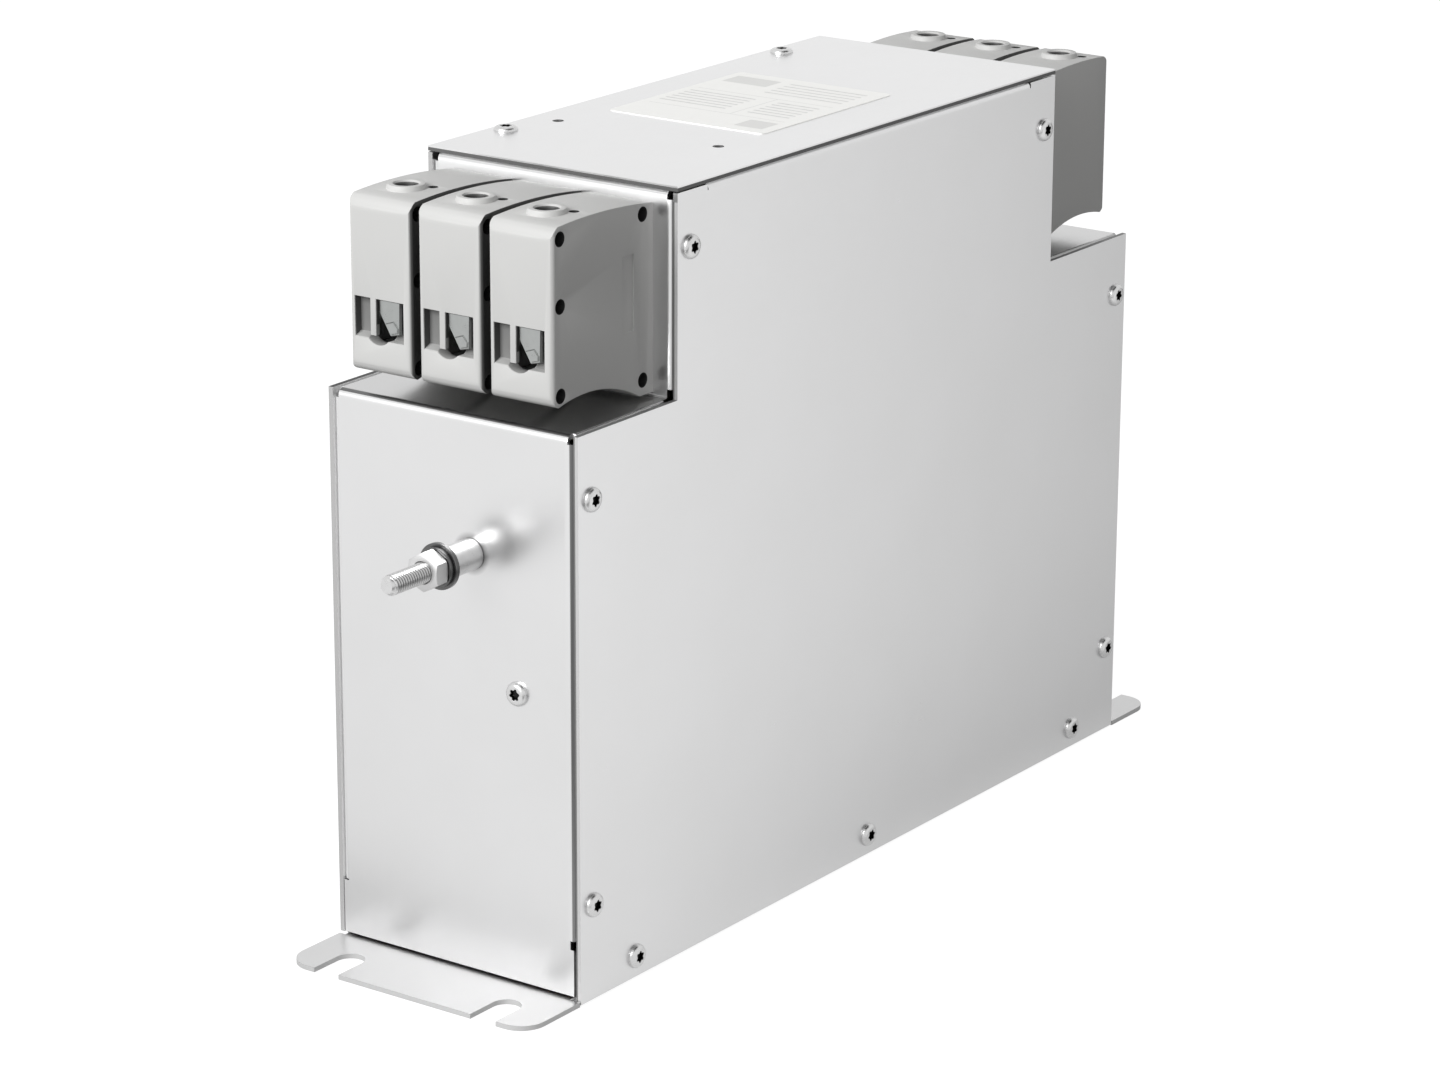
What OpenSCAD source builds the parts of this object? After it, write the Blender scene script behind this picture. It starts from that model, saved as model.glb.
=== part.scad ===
// Three-phase line filter in a stepped sheet-metal housing.
// The line terminals stand on the ledge at -Y and the load terminals on the ledge at +Y.
// The origin is the middle of the mounting face, and +Z is up.

/* [Housing] */
// Length of the housing along Y, without its flanges
body_l = 290; // [280:5:340]
// Width of the housing along X
body_w = 88; // [86:1:110]
// Height from the mounting face to the top
body_h = 228; // [228:1:260]
// Height of the two terminal ledges
ledge_h = 167; // [160:1:167]
// Depth of each terminal step along Y
step_l = 46; // [46:1:56]
// Thickness of every housing sheet
sheet_t = 1.5; // [1:0.1:2]
// Inside radius of the sheet bends
bend_r = 0.6; // [0.4:0.1:1.2]
// Width of the folded lips that carry the covers
lip_w = 12; // [11:0.5:14]
// Size of the relief notch at each folded corner
relief = 2.6; // [2:0.1:4]
// Gap between an end panel and the base under it
foot_gap = 0.9; // [0.3:0.1:1.2]
// Height at which the side lips of an end panel start
lip_start_h = 19; // [18:0.5:24]
// Height of the upturned lip of the base
base_lip_h = 15; // [13:0.5:16]
// Clearance between cut edges of neighbouring sheets
edge_gap = 0.4; // [0.2:0.1:1]
// Gap beside the foot of an end panel, where it has no lip
apron_gap = 0.9; // [0.4:0.1:1.2]

/* [Mounting flanges] */
// Length of each flange beyond the housing
flange_l = 25; // [20:1:40]
// Radius of the outer flange corners
flange_r = 8; // [4:1:10]
// Width of the open mounting slots
slot_w = 9; // [6.6:0.1:11]
// Distance between the two slots of a flange
slot_pitch = 57; // [46:1:60]
// Depth of a slot from the flange end to its round bottom
slot_l = 15; // [10:1:19]

/* [Cover screws] */
// Nominal diameter of the screws
screw_d = 4; // [3:0.5:4]
// Head diameter
screw_head_d = 8; // [6:0.5:8.5]
// Head height
screw_head_h = 2.7; // [2:0.1:3.2]
// Width across the corners of the drive socket
socket_d = 4; // [2:0.1:4.4]
// Length under the head
screw_l = 8; // [6:0.5:10]
// Distance of the screws from the edges of the housing
screw_inset = 6; // [5:0.5:6.5]
// Height of the screws in the base lip
base_screw_h = 6.8; // [6:0.1:9]
// Distance between the outer screws in the base lip
base_screw_pitch = 238; // [200:2:250]
// Heights of the lower and the upper screw at each end
end_screw_low = 29; // [26:1:60]
end_screw_high = 148; // [120:1:150]
// Distance of the uppermost screws below the top
top_screw_drop = 18; // [12:1:30]
// Distance between the two screws in the top
lid_screw_pitch = 140; // [100:5:160]
// Distance of the top screws from the left side
lid_screw_inset = 5.5; // [5:0.5:8]
// Place of the screw in each end panel, across and up
panel_screw_x = 22.5; // [15:0.5:30]
panel_screw_z = 89; // [86:1:96]
// Clearance of a screw in the sheet under its head
screw_clear = 0.5; // [0.2:0.1:1]
// Play of a screw in its thread
thread_play = 0.1; // [0.05:0.05:0.2]

/* [Top cover] */
// Diameter of the two plain holes in the top
vent_d = 3.4; // [2:0.2:6]
// Place of the plain holes, from the middle of the top
vent_left_x = -34; // [-36:1:-20]
vent_right_x = 23.5; // [10:0.5:26]
vent_y = -51; // [-60:1:-40]
// Width, length and thickness of the rating label
label_w = 56; // [40:1:60]
label_l = 68; // [50:1:80]
label_t = 0.2; // [0.1:0.1:0.4]
// Place of the middle of the label
label_x = -3; // [-6:1:6]
label_y = 3; // [0:1:10]

/* [Earth stud] */
// Nominal diameter of the stud
stud_d = 6; // [5:0.5:8]
// Length of the stud beyond the panel
stud_l = 37; // [30:1:45]
// Diameter of the stud's neck, inside its sleeve, washers and nut
neck_d = 5.3; // [4.6:0.1:5.4]
// Place of the stud in the line panel, across and up
stud_x = 6.5; // [-10:0.5:12]
stud_z = 127; // [120:1:140]
// Outer diameter and length of the spacer sleeve
spacer_d = 9.2; // [8:0.1:12]
spacer_l = 13.2; // [4:0.2:16]
// Outer diameter and thickness of the flat washer
washer_d = 13.5; // [12:0.5:16]
washer_t = 1.6; // [1:0.1:2]
// Outer diameter and thickness of the split washer
lock_d = 11.8; // [10.5:0.1:13]
lock_t = 1.6; // [1:0.1:2]
// Gap in the split washer
lock_gap = 1.2; // [0.6:0.1:2]
// Width across flats of the nut and of the stud head
nut_af = 10; // [9:0.5:13]
nut_h = 5.2; // [4:0.2:7]
stud_head_h = 4; // [3:0.5:6]
// Clearance of the washers and the sleeve on the stud
stud_clear = 0.4; // [0.2:0.1:0.6]

/* [Terminal blocks] */
// Width of one block and distance from block to block
block_w = 21.8; // [21:0.1:23]
block_pitch = 24.6; // [24.2:0.1:26]
// Height of the crown of a block above the ledge
block_h = 57.4; // [56.5:0.1:58]
// Radius of the gently crowned top and its distance from the front
crown_r = 200; // [150:10:400]
crown_d = 18; // [14:1:22]
// Radius of the front corner at the top and of the toe below
brow_r = 5; // [2:0.5:7]
toe_r = 4; // [1:0.1:4.4]
// Radius of the upright front edges
edge_r = 1.4; // [0.5:0.1:1.4]
// Height of the toe and of the heel above the ledge
toe_h = 6; // [5:0.1:7]
heel_h = 1.2; // [0.5:0.1:2]
// Radius, height and distance from the front of the arched underside
arch_r = 50; // [45:1:70]
arch_h = 7.8; // [6:0.1:8.5]
arch_d = 15; // [12:1:20]
// Offset of the wire port and the clamp from the middle of the block
port_x = -0.8; // [-1:0.1:0.2]
// Diameter and height of the round wire port
port_d = 9.6; // [8:0.1:10]
port_h = 19.6; // [19:0.1:20]
// Left, right, lower and upper edge of the front window
window_left = -9.2; // [-9.4:0.1:-8.6]
window_right = 8.3; // [7:0.1:9]
window_low = 16.3; // [15.5:0.1:17]
window_high = 28.1; // [27:0.1:29]
// Left edge and width of the rib in the window
rib_x = -3.5; // [-4:0.1:-3]
rib_w = 1.9; // [1.4:0.1:2.4]
// Depth of the blind pocket and of the open pocket beside the rib
blind_pocket_l = 2.8; // [2:0.1:3.2]
open_pocket_l = 2.9; // [2.4:0.1:3.2]
// Rise of the sloping floor of the blind pocket
pocket_rise = 1.2; // [1:0.1:3]
// Distance of the clamp from the front of the block
clamp_d = 13.4; // [13.2:0.1:15]
// Outer and top diameter, and height of the collar round the screw hole
collar_d = 11.6; // [11:0.1:12]
collar_top_d = 10.8; // [10:0.1:11]
collar_h = 1.3; // [0.4:0.1:1.5]
// Diameter of the driver hole and of its funnel, and of the wider bore for the screw head
driver_d = 7; // [6:0.1:8]
funnel_d = 7.8; // [7:0.1:9]
head_bore_d = 9.2; // [9:0.1:10]
// Depth of the driver hole, down to the head bore
driver_l = 4; // [3:0.1:5]
// Diameter and depth of the test hole, and its place from the driver hole
test_d = 2.8; // [1.5:0.1:3]
test_l = 8; // [4:0.5:12]
test_x = 5.7; // [5.4:0.1:6.4]
test_gap = 4.6; // [4.2:0.1:5]
// Diameter and depth of the blind holes in the right side
pin_hole_d = 4.2; // [3:0.1:4.4]
pin_hole_l = 3.6; // [2:0.1:3.8]
// Width, height, depth and place of the side recess
mark_w = 5.2; // [3:0.1:6]
mark_h = 22; // [15:0.5:26]
mark_l = 0.5; // [0.2:0.1:0.8]
mark_d = 34.5; // [30:0.5:35]
mark_z = 31.7; // [28:0.1:33]
// Clearance of moulded parts round what they hold
mould_clear = 0.3; // [0.2:0.05:0.5]

/* [Wire clamps] */
// Width, length, low edge and height of the clamp frame
frame_w = 14; // [12.5:0.1:14]
frame_l = 18; // [16:0.1:18.4]
frame_low = 9.6; // [9.4:0.1:10]
frame_h = 25.5; // [24:0.1:26]
// Thickness of the frame's sides and of its tapped top
frame_t = 1.6; // [1.2:0.1:2]
frame_top_t = 5; // [4:0.1:6]
// Thickness and width of the current bar
bar_t = 2.5; // [2:0.1:3]
bar_w = 10; // [8:0.1:10]
// Length of the bar inside the housing and its hole
bar_tail = 14; // [10:0.5:18]
bar_hole_d = 4.4; // [3:0.1:5]
// Length and height of the pressure saddle, and depth of the ridge under it
saddle_l = 17; // [12:0.1:17.4]
saddle_h = 11; // [8:0.1:12]
saddle_v = 4.6; // [3:0.1:5]
// Free height between bar and saddle, with the clamp screwed down
wire_space = 3; // [0.3:0.1:4]
// Thread, head and socket of the clamp screw
clamp_thread_d = 6; // [5:0.5:6.5]
clamp_head_d = 8.4; // [8:0.1:8.8]
clamp_head_h = 5; // [4:0.1:6]
clamp_socket_d = 5.8; // [4:0.1:6]
// Depth of the screw head below the crown of the block
clamp_sink = 8; // [5:0.1:10]

/* [Inside] */
// Thickness of the insulating sheet on the base
film_t = 0.8; // [0.5:0.1:1.5]
// Height of the component tray and depth of its end tabs
tray_h = 100; // [98:1:104]
tray_tab = 18; // [16:1:22]
// Outer and inner radius and width of a choke core
core_r = 38; // [34:0.5:38]
core_hole_r = 22; // [20:0.5:24]
core_w = 30; // [24:1:32]
// Thickness and arc of a winding
coil_t = 4; // [3:0.1:4]
coil_arc = 92; // [60:2:100]
// Distance between the two chokes
choke_pitch = 118; // [100:2:130]
// Width, length and foot thickness of a choke cradle
cradle_w = 38; // [30:1:44]
cradle_l = 60; // [40:2:66]
cradle_foot = 4; // [3:0.5:5]
cradle_h = 20; // [14:1:26]
// Width, length and height of one line-to-line capacitor
cap_w = 24; // [18:0.5:25]
cap_l = 40; // [30:1:44]
cap_h = 38; // [28:1:44]
cap_pitch = 26; // [25.5:0.1:27]
cap_y = 92; // [80:1:100]
// Width, length and height of the capacitor to earth
earth_cap_w = 60; // [40:1:66]
earth_cap_l = 44; // [30:1:60]
earth_cap_h = 34; // [24:1:40]
// Size of the discharge board and its resistors
board_w = 64; // [50:1:70]
board_l = 52; // [46:1:64]
board_t = 1.6; // [1:0.1:2]
resistor_d = 5; // [3:0.5:7]
resistor_l = 16; // [10:1:20]

/* [Hidden] */
$fn = 64;
cut = 1;                                     // how far a cutting solid runs past a face
half_l = body_l / 2;
half_w = body_w / 2;
riser_y = half_l - step_l;                   // distance of the upright step panels from the middle
bend_out = bend_r + sheet_t;                 // outside radius of the bends
inner_x = half_w - sheet_t;                  // inside faces of the two sides
top_z = body_h - sheet_t;                    // underside of the top cover
strip_w = 2 * (inner_x - bend_out);          // flat width of an end panel
panel_low = sheet_t + foot_gap;
crest_y = riser_y - lip_w - relief;          // half length of the lips under the top cover
clear_d = screw_d + screw_clear;
tapped_d = screw_d + thread_play;
nut_corner_d = nut_af / cos(30);
phases = [1, 2, 3];

// Inside the terminal blocks, measured from the front face and from the ledge
frame_d = clamp_d - frame_l / 2;
frame_in_w = frame_w - 2 * frame_t;
bar_low = frame_low + frame_t;
saddle_low = bar_low + bar_t + wire_space;
saddle_top = saddle_low + saddle_h;
frame_top = frame_low + frame_h;
well_d = frame_d - mould_clear;
well_l = frame_l + 2 * mould_clear;
well_w = frame_w + 2 * mould_clear;
head_top = block_h - clamp_sink;
spigot_w = bar_w + 4;
spigot_h = bar_t + 5;
spigot_low = bar_low + bar_t / 2 - spigot_h / 2;
spigot_l = sheet_t + 2;
rib_end = rib_x + rib_w;
pin_holes = [
  [pin_hole_d / 2 + 1.5, block_h - 4.1],
  [pin_hole_d / 2 + 1.5, block_h - 22.9],
  [pin_hole_d / 2 + 1.5, toe_h + 3.4],
  [step_l - 4.8, block_h - 4.4],
  [step_l - 4.8, heel_h + 4.4]
];

// Inside the housing
film_top = sheet_t + film_t;
coil_r = core_r + coil_t + mould_clear;
choke_z = film_top + cradle_foot + mould_clear + coil_r;
tray_top = tray_h + sheet_t;
tray_w = strip_w - 4;
board_z = tray_top + earth_cap_h;

steel = [0.82, 0.83, 0.83];
moulding = [0.72, 0.73, 0.72];
bright = [0.88, 0.89, 0.88];
copper = [0.78, 0.48, 0.3];

// Turns the line end into the load end
module at_end(end) rotate([0, 0, end == "line" ? 0 : 180]) children();

// Puts a part of one phase on its ledge, with its front in the plane of the end panel
module at_block(end, phase)
  at_end(end)
    translate([(end == "line" ? phase - 2 : 2 - phase) * block_pitch, -half_l, ledge_h]) children();

// Draws a section of depth and height, run across the housing in the X direction
module across(width) translate([-width / 2, 0, 0]) rotate([90, 0, 90]) linear_extrude(width) children();

// Section of a sheet bend, in the quadrant toward +X and +Y
module bend() intersection() {
  difference() {
    circle(bend_out);
    circle(bend_r);
  }
  square(bend_out);
}

// Drill along +Y, +X or -Z, from just outside a face into the sheet behind it
module drill_y(d, l) translate([0, -cut, 0]) rotate([-90, 0, 0]) cylinder(d = d, h = l + cut);
module drill_x(d, l) translate([cut, 0, 0]) rotate([0, -90, 0]) cylinder(d = d, h = l + cut);
module drill_z(d, l) translate([0, 0, -l]) cylinder(d = d, h = l + cut);

// Places of the nine screws of the side cover, as [y, z]
cover_screw_places = concat(
  [for (y = [-1, 0, 1]) [y * base_screw_pitch / 2, base_screw_h]],
  [for (y = [-1, 1], z = [end_screw_low, end_screw_high]) [y * (half_l - screw_inset), z]],
  [for (y = [-1, 1]) [y * (riser_y - screw_inset), body_h - top_screw_drop]]
);

// Section of an end panel: front, ledge, riser and top lip, as depth and height
module end_section() {
  translate([0, panel_low]) square([sheet_t, ledge_h - bend_out - panel_low]);
  translate([bend_out, ledge_h - bend_out]) mirror([1, 0]) bend();
  translate([bend_out, ledge_h - sheet_t]) square([step_l - bend_r - bend_out, sheet_t]);
  translate([step_l - bend_r, ledge_h + bend_r]) mirror([0, 1]) bend();
  translate([step_l, ledge_h + bend_r]) square([sheet_t, top_z - bend_out - ledge_h - bend_r]);
  translate([step_l + bend_out, top_z - bend_out]) mirror([1, 0]) bend();
  translate([step_l + bend_out, top_z - sheet_t]) square([lip_w - bend_out, sheet_t]);
}

// The three lips along the right edge of an end panel, mitred where front and ledge meet
module side_lips() {
  front_top = ledge_h - relief;
  translate([inner_x - bend_out, bend_out, lip_start_h])
    linear_extrude(front_top - lip_start_h) mirror([0, 1]) bend();
  translate([inner_x - bend_out, step_l - relief, ledge_h - bend_out])
    rotate([90, 0, 0]) linear_extrude(step_l - 2 * relief) bend();
  translate([inner_x - bend_out, step_l + bend_out, ledge_h + relief])
    linear_extrude(top_z - ledge_h - 2 * relief) mirror([0, 1]) bend();
  translate([inner_x - sheet_t / 2, 0, 0]) across(sheet_t) {
    polygon([[bend_out, lip_start_h], [lip_w, lip_start_h],
             [lip_w, ledge_h - lip_w - edge_gap], [bend_out, ledge_h - relief - edge_gap]]);
    polygon([[relief + edge_gap, ledge_h - bend_out], [lip_w + edge_gap, ledge_h - lip_w],
             [step_l - relief, ledge_h - lip_w], [step_l - relief, ledge_h - bend_out]]);
    translate([step_l + bend_out, ledge_h + relief])
      square([lip_w - bend_out, top_z - ledge_h - 2 * relief]);
  }
}

// One end of the housing, folded from a single strip of sheet
module end_panel(end) at_end(end) {
  flip = end == "line" ? 0 : 1;
  translate([0, -half_l, 0]) difference() {
    union() {
      across(strip_w) end_section();
      mirror([flip, 0, 0]) {
        translate([0, 0, panel_low])
          cube([inner_x - apron_gap, sheet_t, lip_start_h - relief - panel_low]);
        translate([edge_gap - inner_x, 0, panel_low])
          cube([inner_x - edge_gap, sheet_t, lip_start_h - edge_gap - panel_low]);
      }
      side_lips();
      mirror([1, 0, 0]) side_lips();
    }
    translate([panel_screw_x, 0, panel_screw_z]) drill_y(clear_d, sheet_t + cut);
    translate([stud_x, 0, stud_z]) drill_y(stud_d + stud_clear, sheet_t + cut);
    for (phase = phases)
      translate([(phase - 2) * block_pitch + port_x - spigot_w / 2 - mould_clear, step_l - cut,
                 ledge_h + spigot_low - mould_clear])
        cube([spigot_w + 2 * mould_clear, sheet_t + 2 * cut, spigot_h + 2 * mould_clear]);
    mirror([flip, 0, 0]) {
      for (z = [end_screw_low, end_screw_high])
        translate([inner_x, screw_inset, z]) drill_x(tapped_d, sheet_t + cut);
      translate([inner_x, step_l + screw_inset, body_h - top_screw_drop])
        drill_x(tapped_d, sheet_t + cut);
    }
  }
}

// Stepped outline of the two sides, seen along X, up to the lips under the top cover
module side_outline(low) {
  tall = top_z - edge_gap;
  translate([-half_l, low]) square([body_l, ledge_h - low]);
  translate([-riser_y, low]) square([2 * riser_y, top_z - bend_out - low]);
  for (side = [0, 1]) mirror([side, 0])
    translate([crest_y + edge_gap, low]) square([riser_y - crest_y - edge_gap, tall - low]);
}

// Lip under the top cover along the right side
module crest_lip() {
  translate([half_w - bend_out, crest_y, top_z - bend_out])
    rotate([90, 0, 0]) linear_extrude(2 * crest_y) bend();
  translate([half_w - bend_out - lip_w, -crest_y, top_z - sheet_t])
    cube([lip_w, 2 * crest_y, sheet_t]);
}

// Base with its flanges, as a flat outline
module base_outline() {
  translate([-half_w + bend_out, -half_l])
    square([half_w - bend_out + inner_x - bend_out, body_l]);
  for (side = [0, 1]) mirror([0, side]) difference() {
    translate([-half_w, half_l]) {
      translate([0, edge_gap]) square([body_w, flange_l - flange_r - edge_gap]);
      translate([flange_r, edge_gap]) square([body_w - 2 * flange_r, flange_l - edge_gap]);
      translate([bend_out, 0]) square([half_w - bend_out + inner_x - bend_out, edge_gap]);
      for (x = [flange_r, body_w - flange_r])
        translate([x, flange_l - flange_r]) circle(flange_r);
    }
    for (x = [-1, 1]) translate([x * slot_pitch / 2, half_l + flange_l - slot_l + slot_w / 2]) {
      circle(d = slot_w);
      translate([-slot_w / 2, 0]) square([slot_w, slot_l]);
    }
  }
}

// Base, flanges and left side, folded from one sheet
module chassis() color(steel) {
  lip_l = body_l - 2 * (sheet_t + edge_gap);
  difference() {
    union() {
      linear_extrude(sheet_t) base_outline();
      translate([-half_w + bend_out, half_l - relief, bend_out])
        rotate([90, 0, 0]) linear_extrude(body_l - 2 * relief) mirror([1, 0]) mirror([0, 1]) bend();
      translate([-half_w + sheet_t / 2, 0, 0]) across(sheet_t) side_outline(bend_out);
      mirror([1, 0, 0]) crest_lip();
      translate([inner_x - bend_out, lip_l / 2, bend_out])
        rotate([90, 0, 0]) linear_extrude(lip_l) mirror([0, 1]) bend();
      translate([inner_x - sheet_t, -lip_l / 2, bend_out])
        cube([sheet_t, lip_l, base_lip_h - bend_out]);
    }
    for (y = [-1, 0, 1])
      translate([inner_x, y * base_screw_pitch / 2, base_screw_h]) drill_x(tapped_d, sheet_t + cut);
    for (y = [-1, 1])
      translate([-half_w + lid_screw_inset, y * lid_screw_pitch / 2, top_z])
        drill_z(tapped_d, sheet_t + cut);
  }
}

module line_panel() color(steel) end_panel("line");

module load_panel() color(steel) end_panel("load");

// Right side, held by nine screws
module side_cover() color(steel) difference() {
  union() {
    translate([half_w - sheet_t / 2, 0, 0]) across(sheet_t) side_outline(edge_gap);
    crest_lip();
  }
  for (place = cover_screw_places)
    translate([half_w, place[0], place[1]]) drill_x(clear_d, sheet_t + cut);
}

// Flat top plate on the lips, held by two screws along the left side
module top_cover() color(steel) difference() {
  translate([-half_w, -riser_y, top_z]) cube([body_w, 2 * riser_y, sheet_t]);
  for (y = [-1, 1])
    translate([-half_w + lid_screw_inset, y * lid_screw_pitch / 2, body_h])
      drill_z(clear_d, sheet_t + cut);
  for (x = [vent_left_x, vent_right_x])
    translate([x, vent_y, body_h]) drill_z(vent_d, sheet_t + cut);
}

// Bare rating label on the top
module rating_label() color("whitesmoke")
  translate([label_x - label_w / 2, label_y - label_l / 2, body_h]) cube([label_w, label_l, label_t]);

// Pan-head screw with its head on Z = 0 and its shank along -Z
module pan_screw() {
  dome_r = 6.5 * screw_head_d / 8;
  difference() {
    union() {
      rotate_extrude() intersection() {
        square([screw_head_d / 2, screw_head_h]);
        translate([0, screw_head_h - dome_r]) circle(dome_r);
      }
      translate([0, 0, -screw_l]) cylinder(d = screw_d, h = screw_l);
    }
    translate([0, 0, screw_head_h / 3]) cylinder(d = socket_d, h = screw_head_h, $fn = 6);
  }
}

module cover_screws() color(bright)
  for (place = cover_screw_places)
    translate([half_w, place[0], place[1]]) rotate([0, 90, 0]) pan_screw();

module lid_screws() color(bright)
  for (y = [-1, 1])
    translate([-half_w + lid_screw_inset, y * lid_screw_pitch / 2, body_h]) pan_screw();

module panel_screws() color(bright)
  for (end = ["line", "load"])
    at_end(end) translate([panel_screw_x, -half_l, panel_screw_z]) rotate([90, 0, 0]) pan_screw();

// Puts a part of both earth studs at a distance in front of its end panel, with +Z outward
module at_studs(distance)
  for (end = ["line", "load"])
    at_end(end) translate([stud_x, -half_l - distance, stud_z]) rotate([90, 0, 0]) children();

// Studs with a hexagon head against the inside of the panel
module earth_studs() color(bright) at_studs(-sheet_t) {
  point = stud_d / 6;
  shank = stud_l + sheet_t;
  neck = sheet_t + spacer_l + washer_t + lock_t + nut_h + stud_clear;
  cylinder(d = neck_d, h = neck + point);
  translate([0, 0, neck]) cylinder(d = stud_d, h = shank - point - neck);
  translate([0, 0, shank - point]) cylinder(d1 = stud_d, d2 = stud_d - 2 * point, h = point);
  translate([0, 0, -stud_head_h]) cylinder(d = nut_corner_d, h = stud_head_h, $fn = 6);
}

// Ring on the stud
module stud_ring(outer, inner, h) difference() {
  cylinder(d = outer, h = h);
  translate([0, 0, -cut]) cylinder(d = inner, h = h + 2 * cut);
}

module earth_spacers() color(bright)
  at_studs(0) stud_ring(spacer_d, stud_d + stud_clear, spacer_l);

module earth_washers() color(bright)
  at_studs(spacer_l) stud_ring(washer_d, stud_d + stud_clear, washer_t);

// Spring washers, cut through on one side
module earth_lock_washers() color(bright) at_studs(spacer_l + washer_t) difference() {
  stud_ring(lock_d, stud_d + stud_clear, lock_t);
  rotate([0, 0, 200]) translate([0, -lock_gap / 2, -cut]) cube([lock_d, lock_gap, lock_t + 2 * cut]);
}

// Hexagon nuts with both ends chamfered
module earth_nuts() color(bright) at_studs(spacer_l + washer_t + lock_t) difference() {
  far = nut_corner_d / 2 + cut;
  rise = (far - nut_af / 2) * tan(30);
  intersection() {
    cylinder(d = nut_corner_d, h = nut_h, $fn = 6);
    rotate_extrude() polygon([[0, 0], [nut_af / 2, 0], [far, rise],
                              [far, nut_h - rise], [nut_af / 2, nut_h], [0, nut_h]]);
  }
  translate([0, 0, -cut]) cylinder(d = neck_d + thread_play, h = nut_h + 2 * cut);
}

// Side view of a terminal block: crowned top, rounded brow, toe, and arched underside
module block_side() difference() {
  intersection() {
    union() {
      translate([0, toe_h + toe_r]) square([step_l, block_h - brow_r - toe_h - toe_r]);
      translate([toe_r, toe_h]) square([step_l - toe_r, toe_r]);
      translate([brow_r, block_h - brow_r]) square([step_l - brow_r, brow_r]);
      translate([step_l / 2, heel_h]) square([step_l / 2, toe_h]);
      translate([toe_r, toe_h + toe_r]) circle(toe_r);
      translate([brow_r, block_h - brow_r]) circle(brow_r);
    }
    translate([crown_d, block_h - crown_r]) circle(crown_r, $fn = 200);
  }
  translate([arch_d, arch_h - arch_r]) circle(arch_r);
}

// Plan of a terminal block with rounded front edges
module block_plan() {
  translate([-block_w / 2, edge_r]) square([block_w, step_l - edge_r]);
  translate([-block_w / 2 + edge_r, 0]) square([block_w - 2 * edge_r, edge_r]);
  for (x = [-1, 1]) translate([x * (block_w / 2 - edge_r), edge_r]) circle(edge_r);
}

// Front window: a blind pocket with a sloping floor, a rib, and an open pocket with the wire port
module window_cut() {
  translate([(window_left + rib_x) / 2, 0, 0]) across(rib_x - window_left)
    polygon([[-cut, window_low - cut * pocket_rise / blind_pocket_l], [-cut, window_high],
             [blind_pocket_l, window_high], [blind_pocket_l, window_low + pocket_rise]]);
  translate([rib_end, -cut, window_low])
    cube([window_right - rib_end, open_pocket_l + cut, window_high - window_low]);
  translate([rib_end, 0, port_h])
    cube([port_x + frame_in_w / 2 - rib_end, well_d + cut, window_high - port_h]);
  translate([port_x, open_pocket_l - edge_r, port_h]) rotate([-90, 0, 0])
    cylinder(d = port_d, h = well_d - open_pocket_l + edge_r + cut);
  intersection() {
    translate([port_x, -cut, port_h]) rotate([-90, 0, 0]) cylinder(d = port_d, h = open_pocket_l + cut);
    translate([-block_w / 2, -cut, 0]) cube([block_w, open_pocket_l + cut, window_low + pocket_rise]);
  }
}

// Moulded body of a terminal, with its test hole behind or in front of the driver hole
module terminal_block(side) color(moulding) difference() {
  union() {
    intersection() {
      across(block_w) block_side();
      linear_extrude(block_h) block_plan();
    }
    translate([port_x, clamp_d, block_h - 1]) cylinder(d = collar_d, h = 1);
    translate([port_x, clamp_d, block_h]) cylinder(d1 = collar_d, d2 = collar_top_d, h = collar_h);
    translate([port_x - spigot_w / 2, step_l - cut, spigot_low])
      cube([spigot_w, spigot_l + cut, spigot_h]);
  }
  window_cut();
  translate([port_x - well_w / 2, well_d, frame_low - mould_clear])
    cube([well_w, well_l, frame_h + 2 * mould_clear]);
  translate([port_x, clamp_d, frame_top])
    cylinder(d = head_bore_d, h = block_h - driver_l - frame_top);
  translate([port_x, clamp_d, frame_top]) cylinder(d = driver_d, h = block_h);
  translate([port_x, clamp_d, block_h + collar_h - 0.6])
    cylinder(d1 = driver_d, d2 = funnel_d, h = 0.6);
  translate([port_x, clamp_d, block_h + collar_h]) cylinder(d = funnel_d, h = cut);
  translate([port_x + side * test_x, clamp_d + side * test_gap, block_h]) drill_z(test_d, test_l);
  translate([port_x - bar_w / 2 - mould_clear, clamp_d, bar_low - mould_clear])
    cube([bar_w + 2 * mould_clear, step_l, bar_t + 2 * mould_clear]);
  for (hole = pin_holes)
    translate([block_w / 2, hole[0], hole[1]]) drill_x(pin_hole_d, pin_hole_l);
  translate([block_w / 2 - mark_l, mark_d - mark_w / 2, mark_z - mark_h / 2])
    cube([mark_l + cut, mark_w, mark_h]);
}

// Current bar from the clamp through the riser into the housing
module current_bar() color(bright) {
  front = frame_d + 1;
  length = step_l + spigot_l + bar_tail - front;
  translate([port_x, front, bar_low]) difference() {
    translate([-bar_w / 2, 0, 0]) cube([bar_w, length, bar_t]);
    translate([0, length - bar_w / 2, bar_t]) drill_z(bar_hole_d, bar_t + cut);
  }
}

// Rectangular clamp frame with a tapped top
module clamp_frame() color(bright) translate([port_x, frame_d, frame_low]) difference() {
  translate([-frame_w / 2, 0, 0]) cube([frame_w, frame_l, frame_h]);
  translate([-frame_in_w / 2, -cut, frame_t])
    cube([frame_in_w, frame_l + 2 * cut, frame_h - frame_t - frame_top_t]);
  translate([0, frame_l / 2, frame_h]) drill_z(clamp_thread_d + thread_play, frame_top_t + cut);
}

// Pressure saddle with a ridge along its underside
module saddle() color(bright) {
  width = frame_in_w - 2 * mould_clear;
  translate([port_x - width / 2, clamp_d + saddle_l / 2, saddle_low])
    rotate([90, 0, 0]) linear_extrude(saddle_l)
      polygon([[0, saddle_v], [width / 2, 0], [width, saddle_v], [width, saddle_h], [0, saddle_h]]);
}

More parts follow.
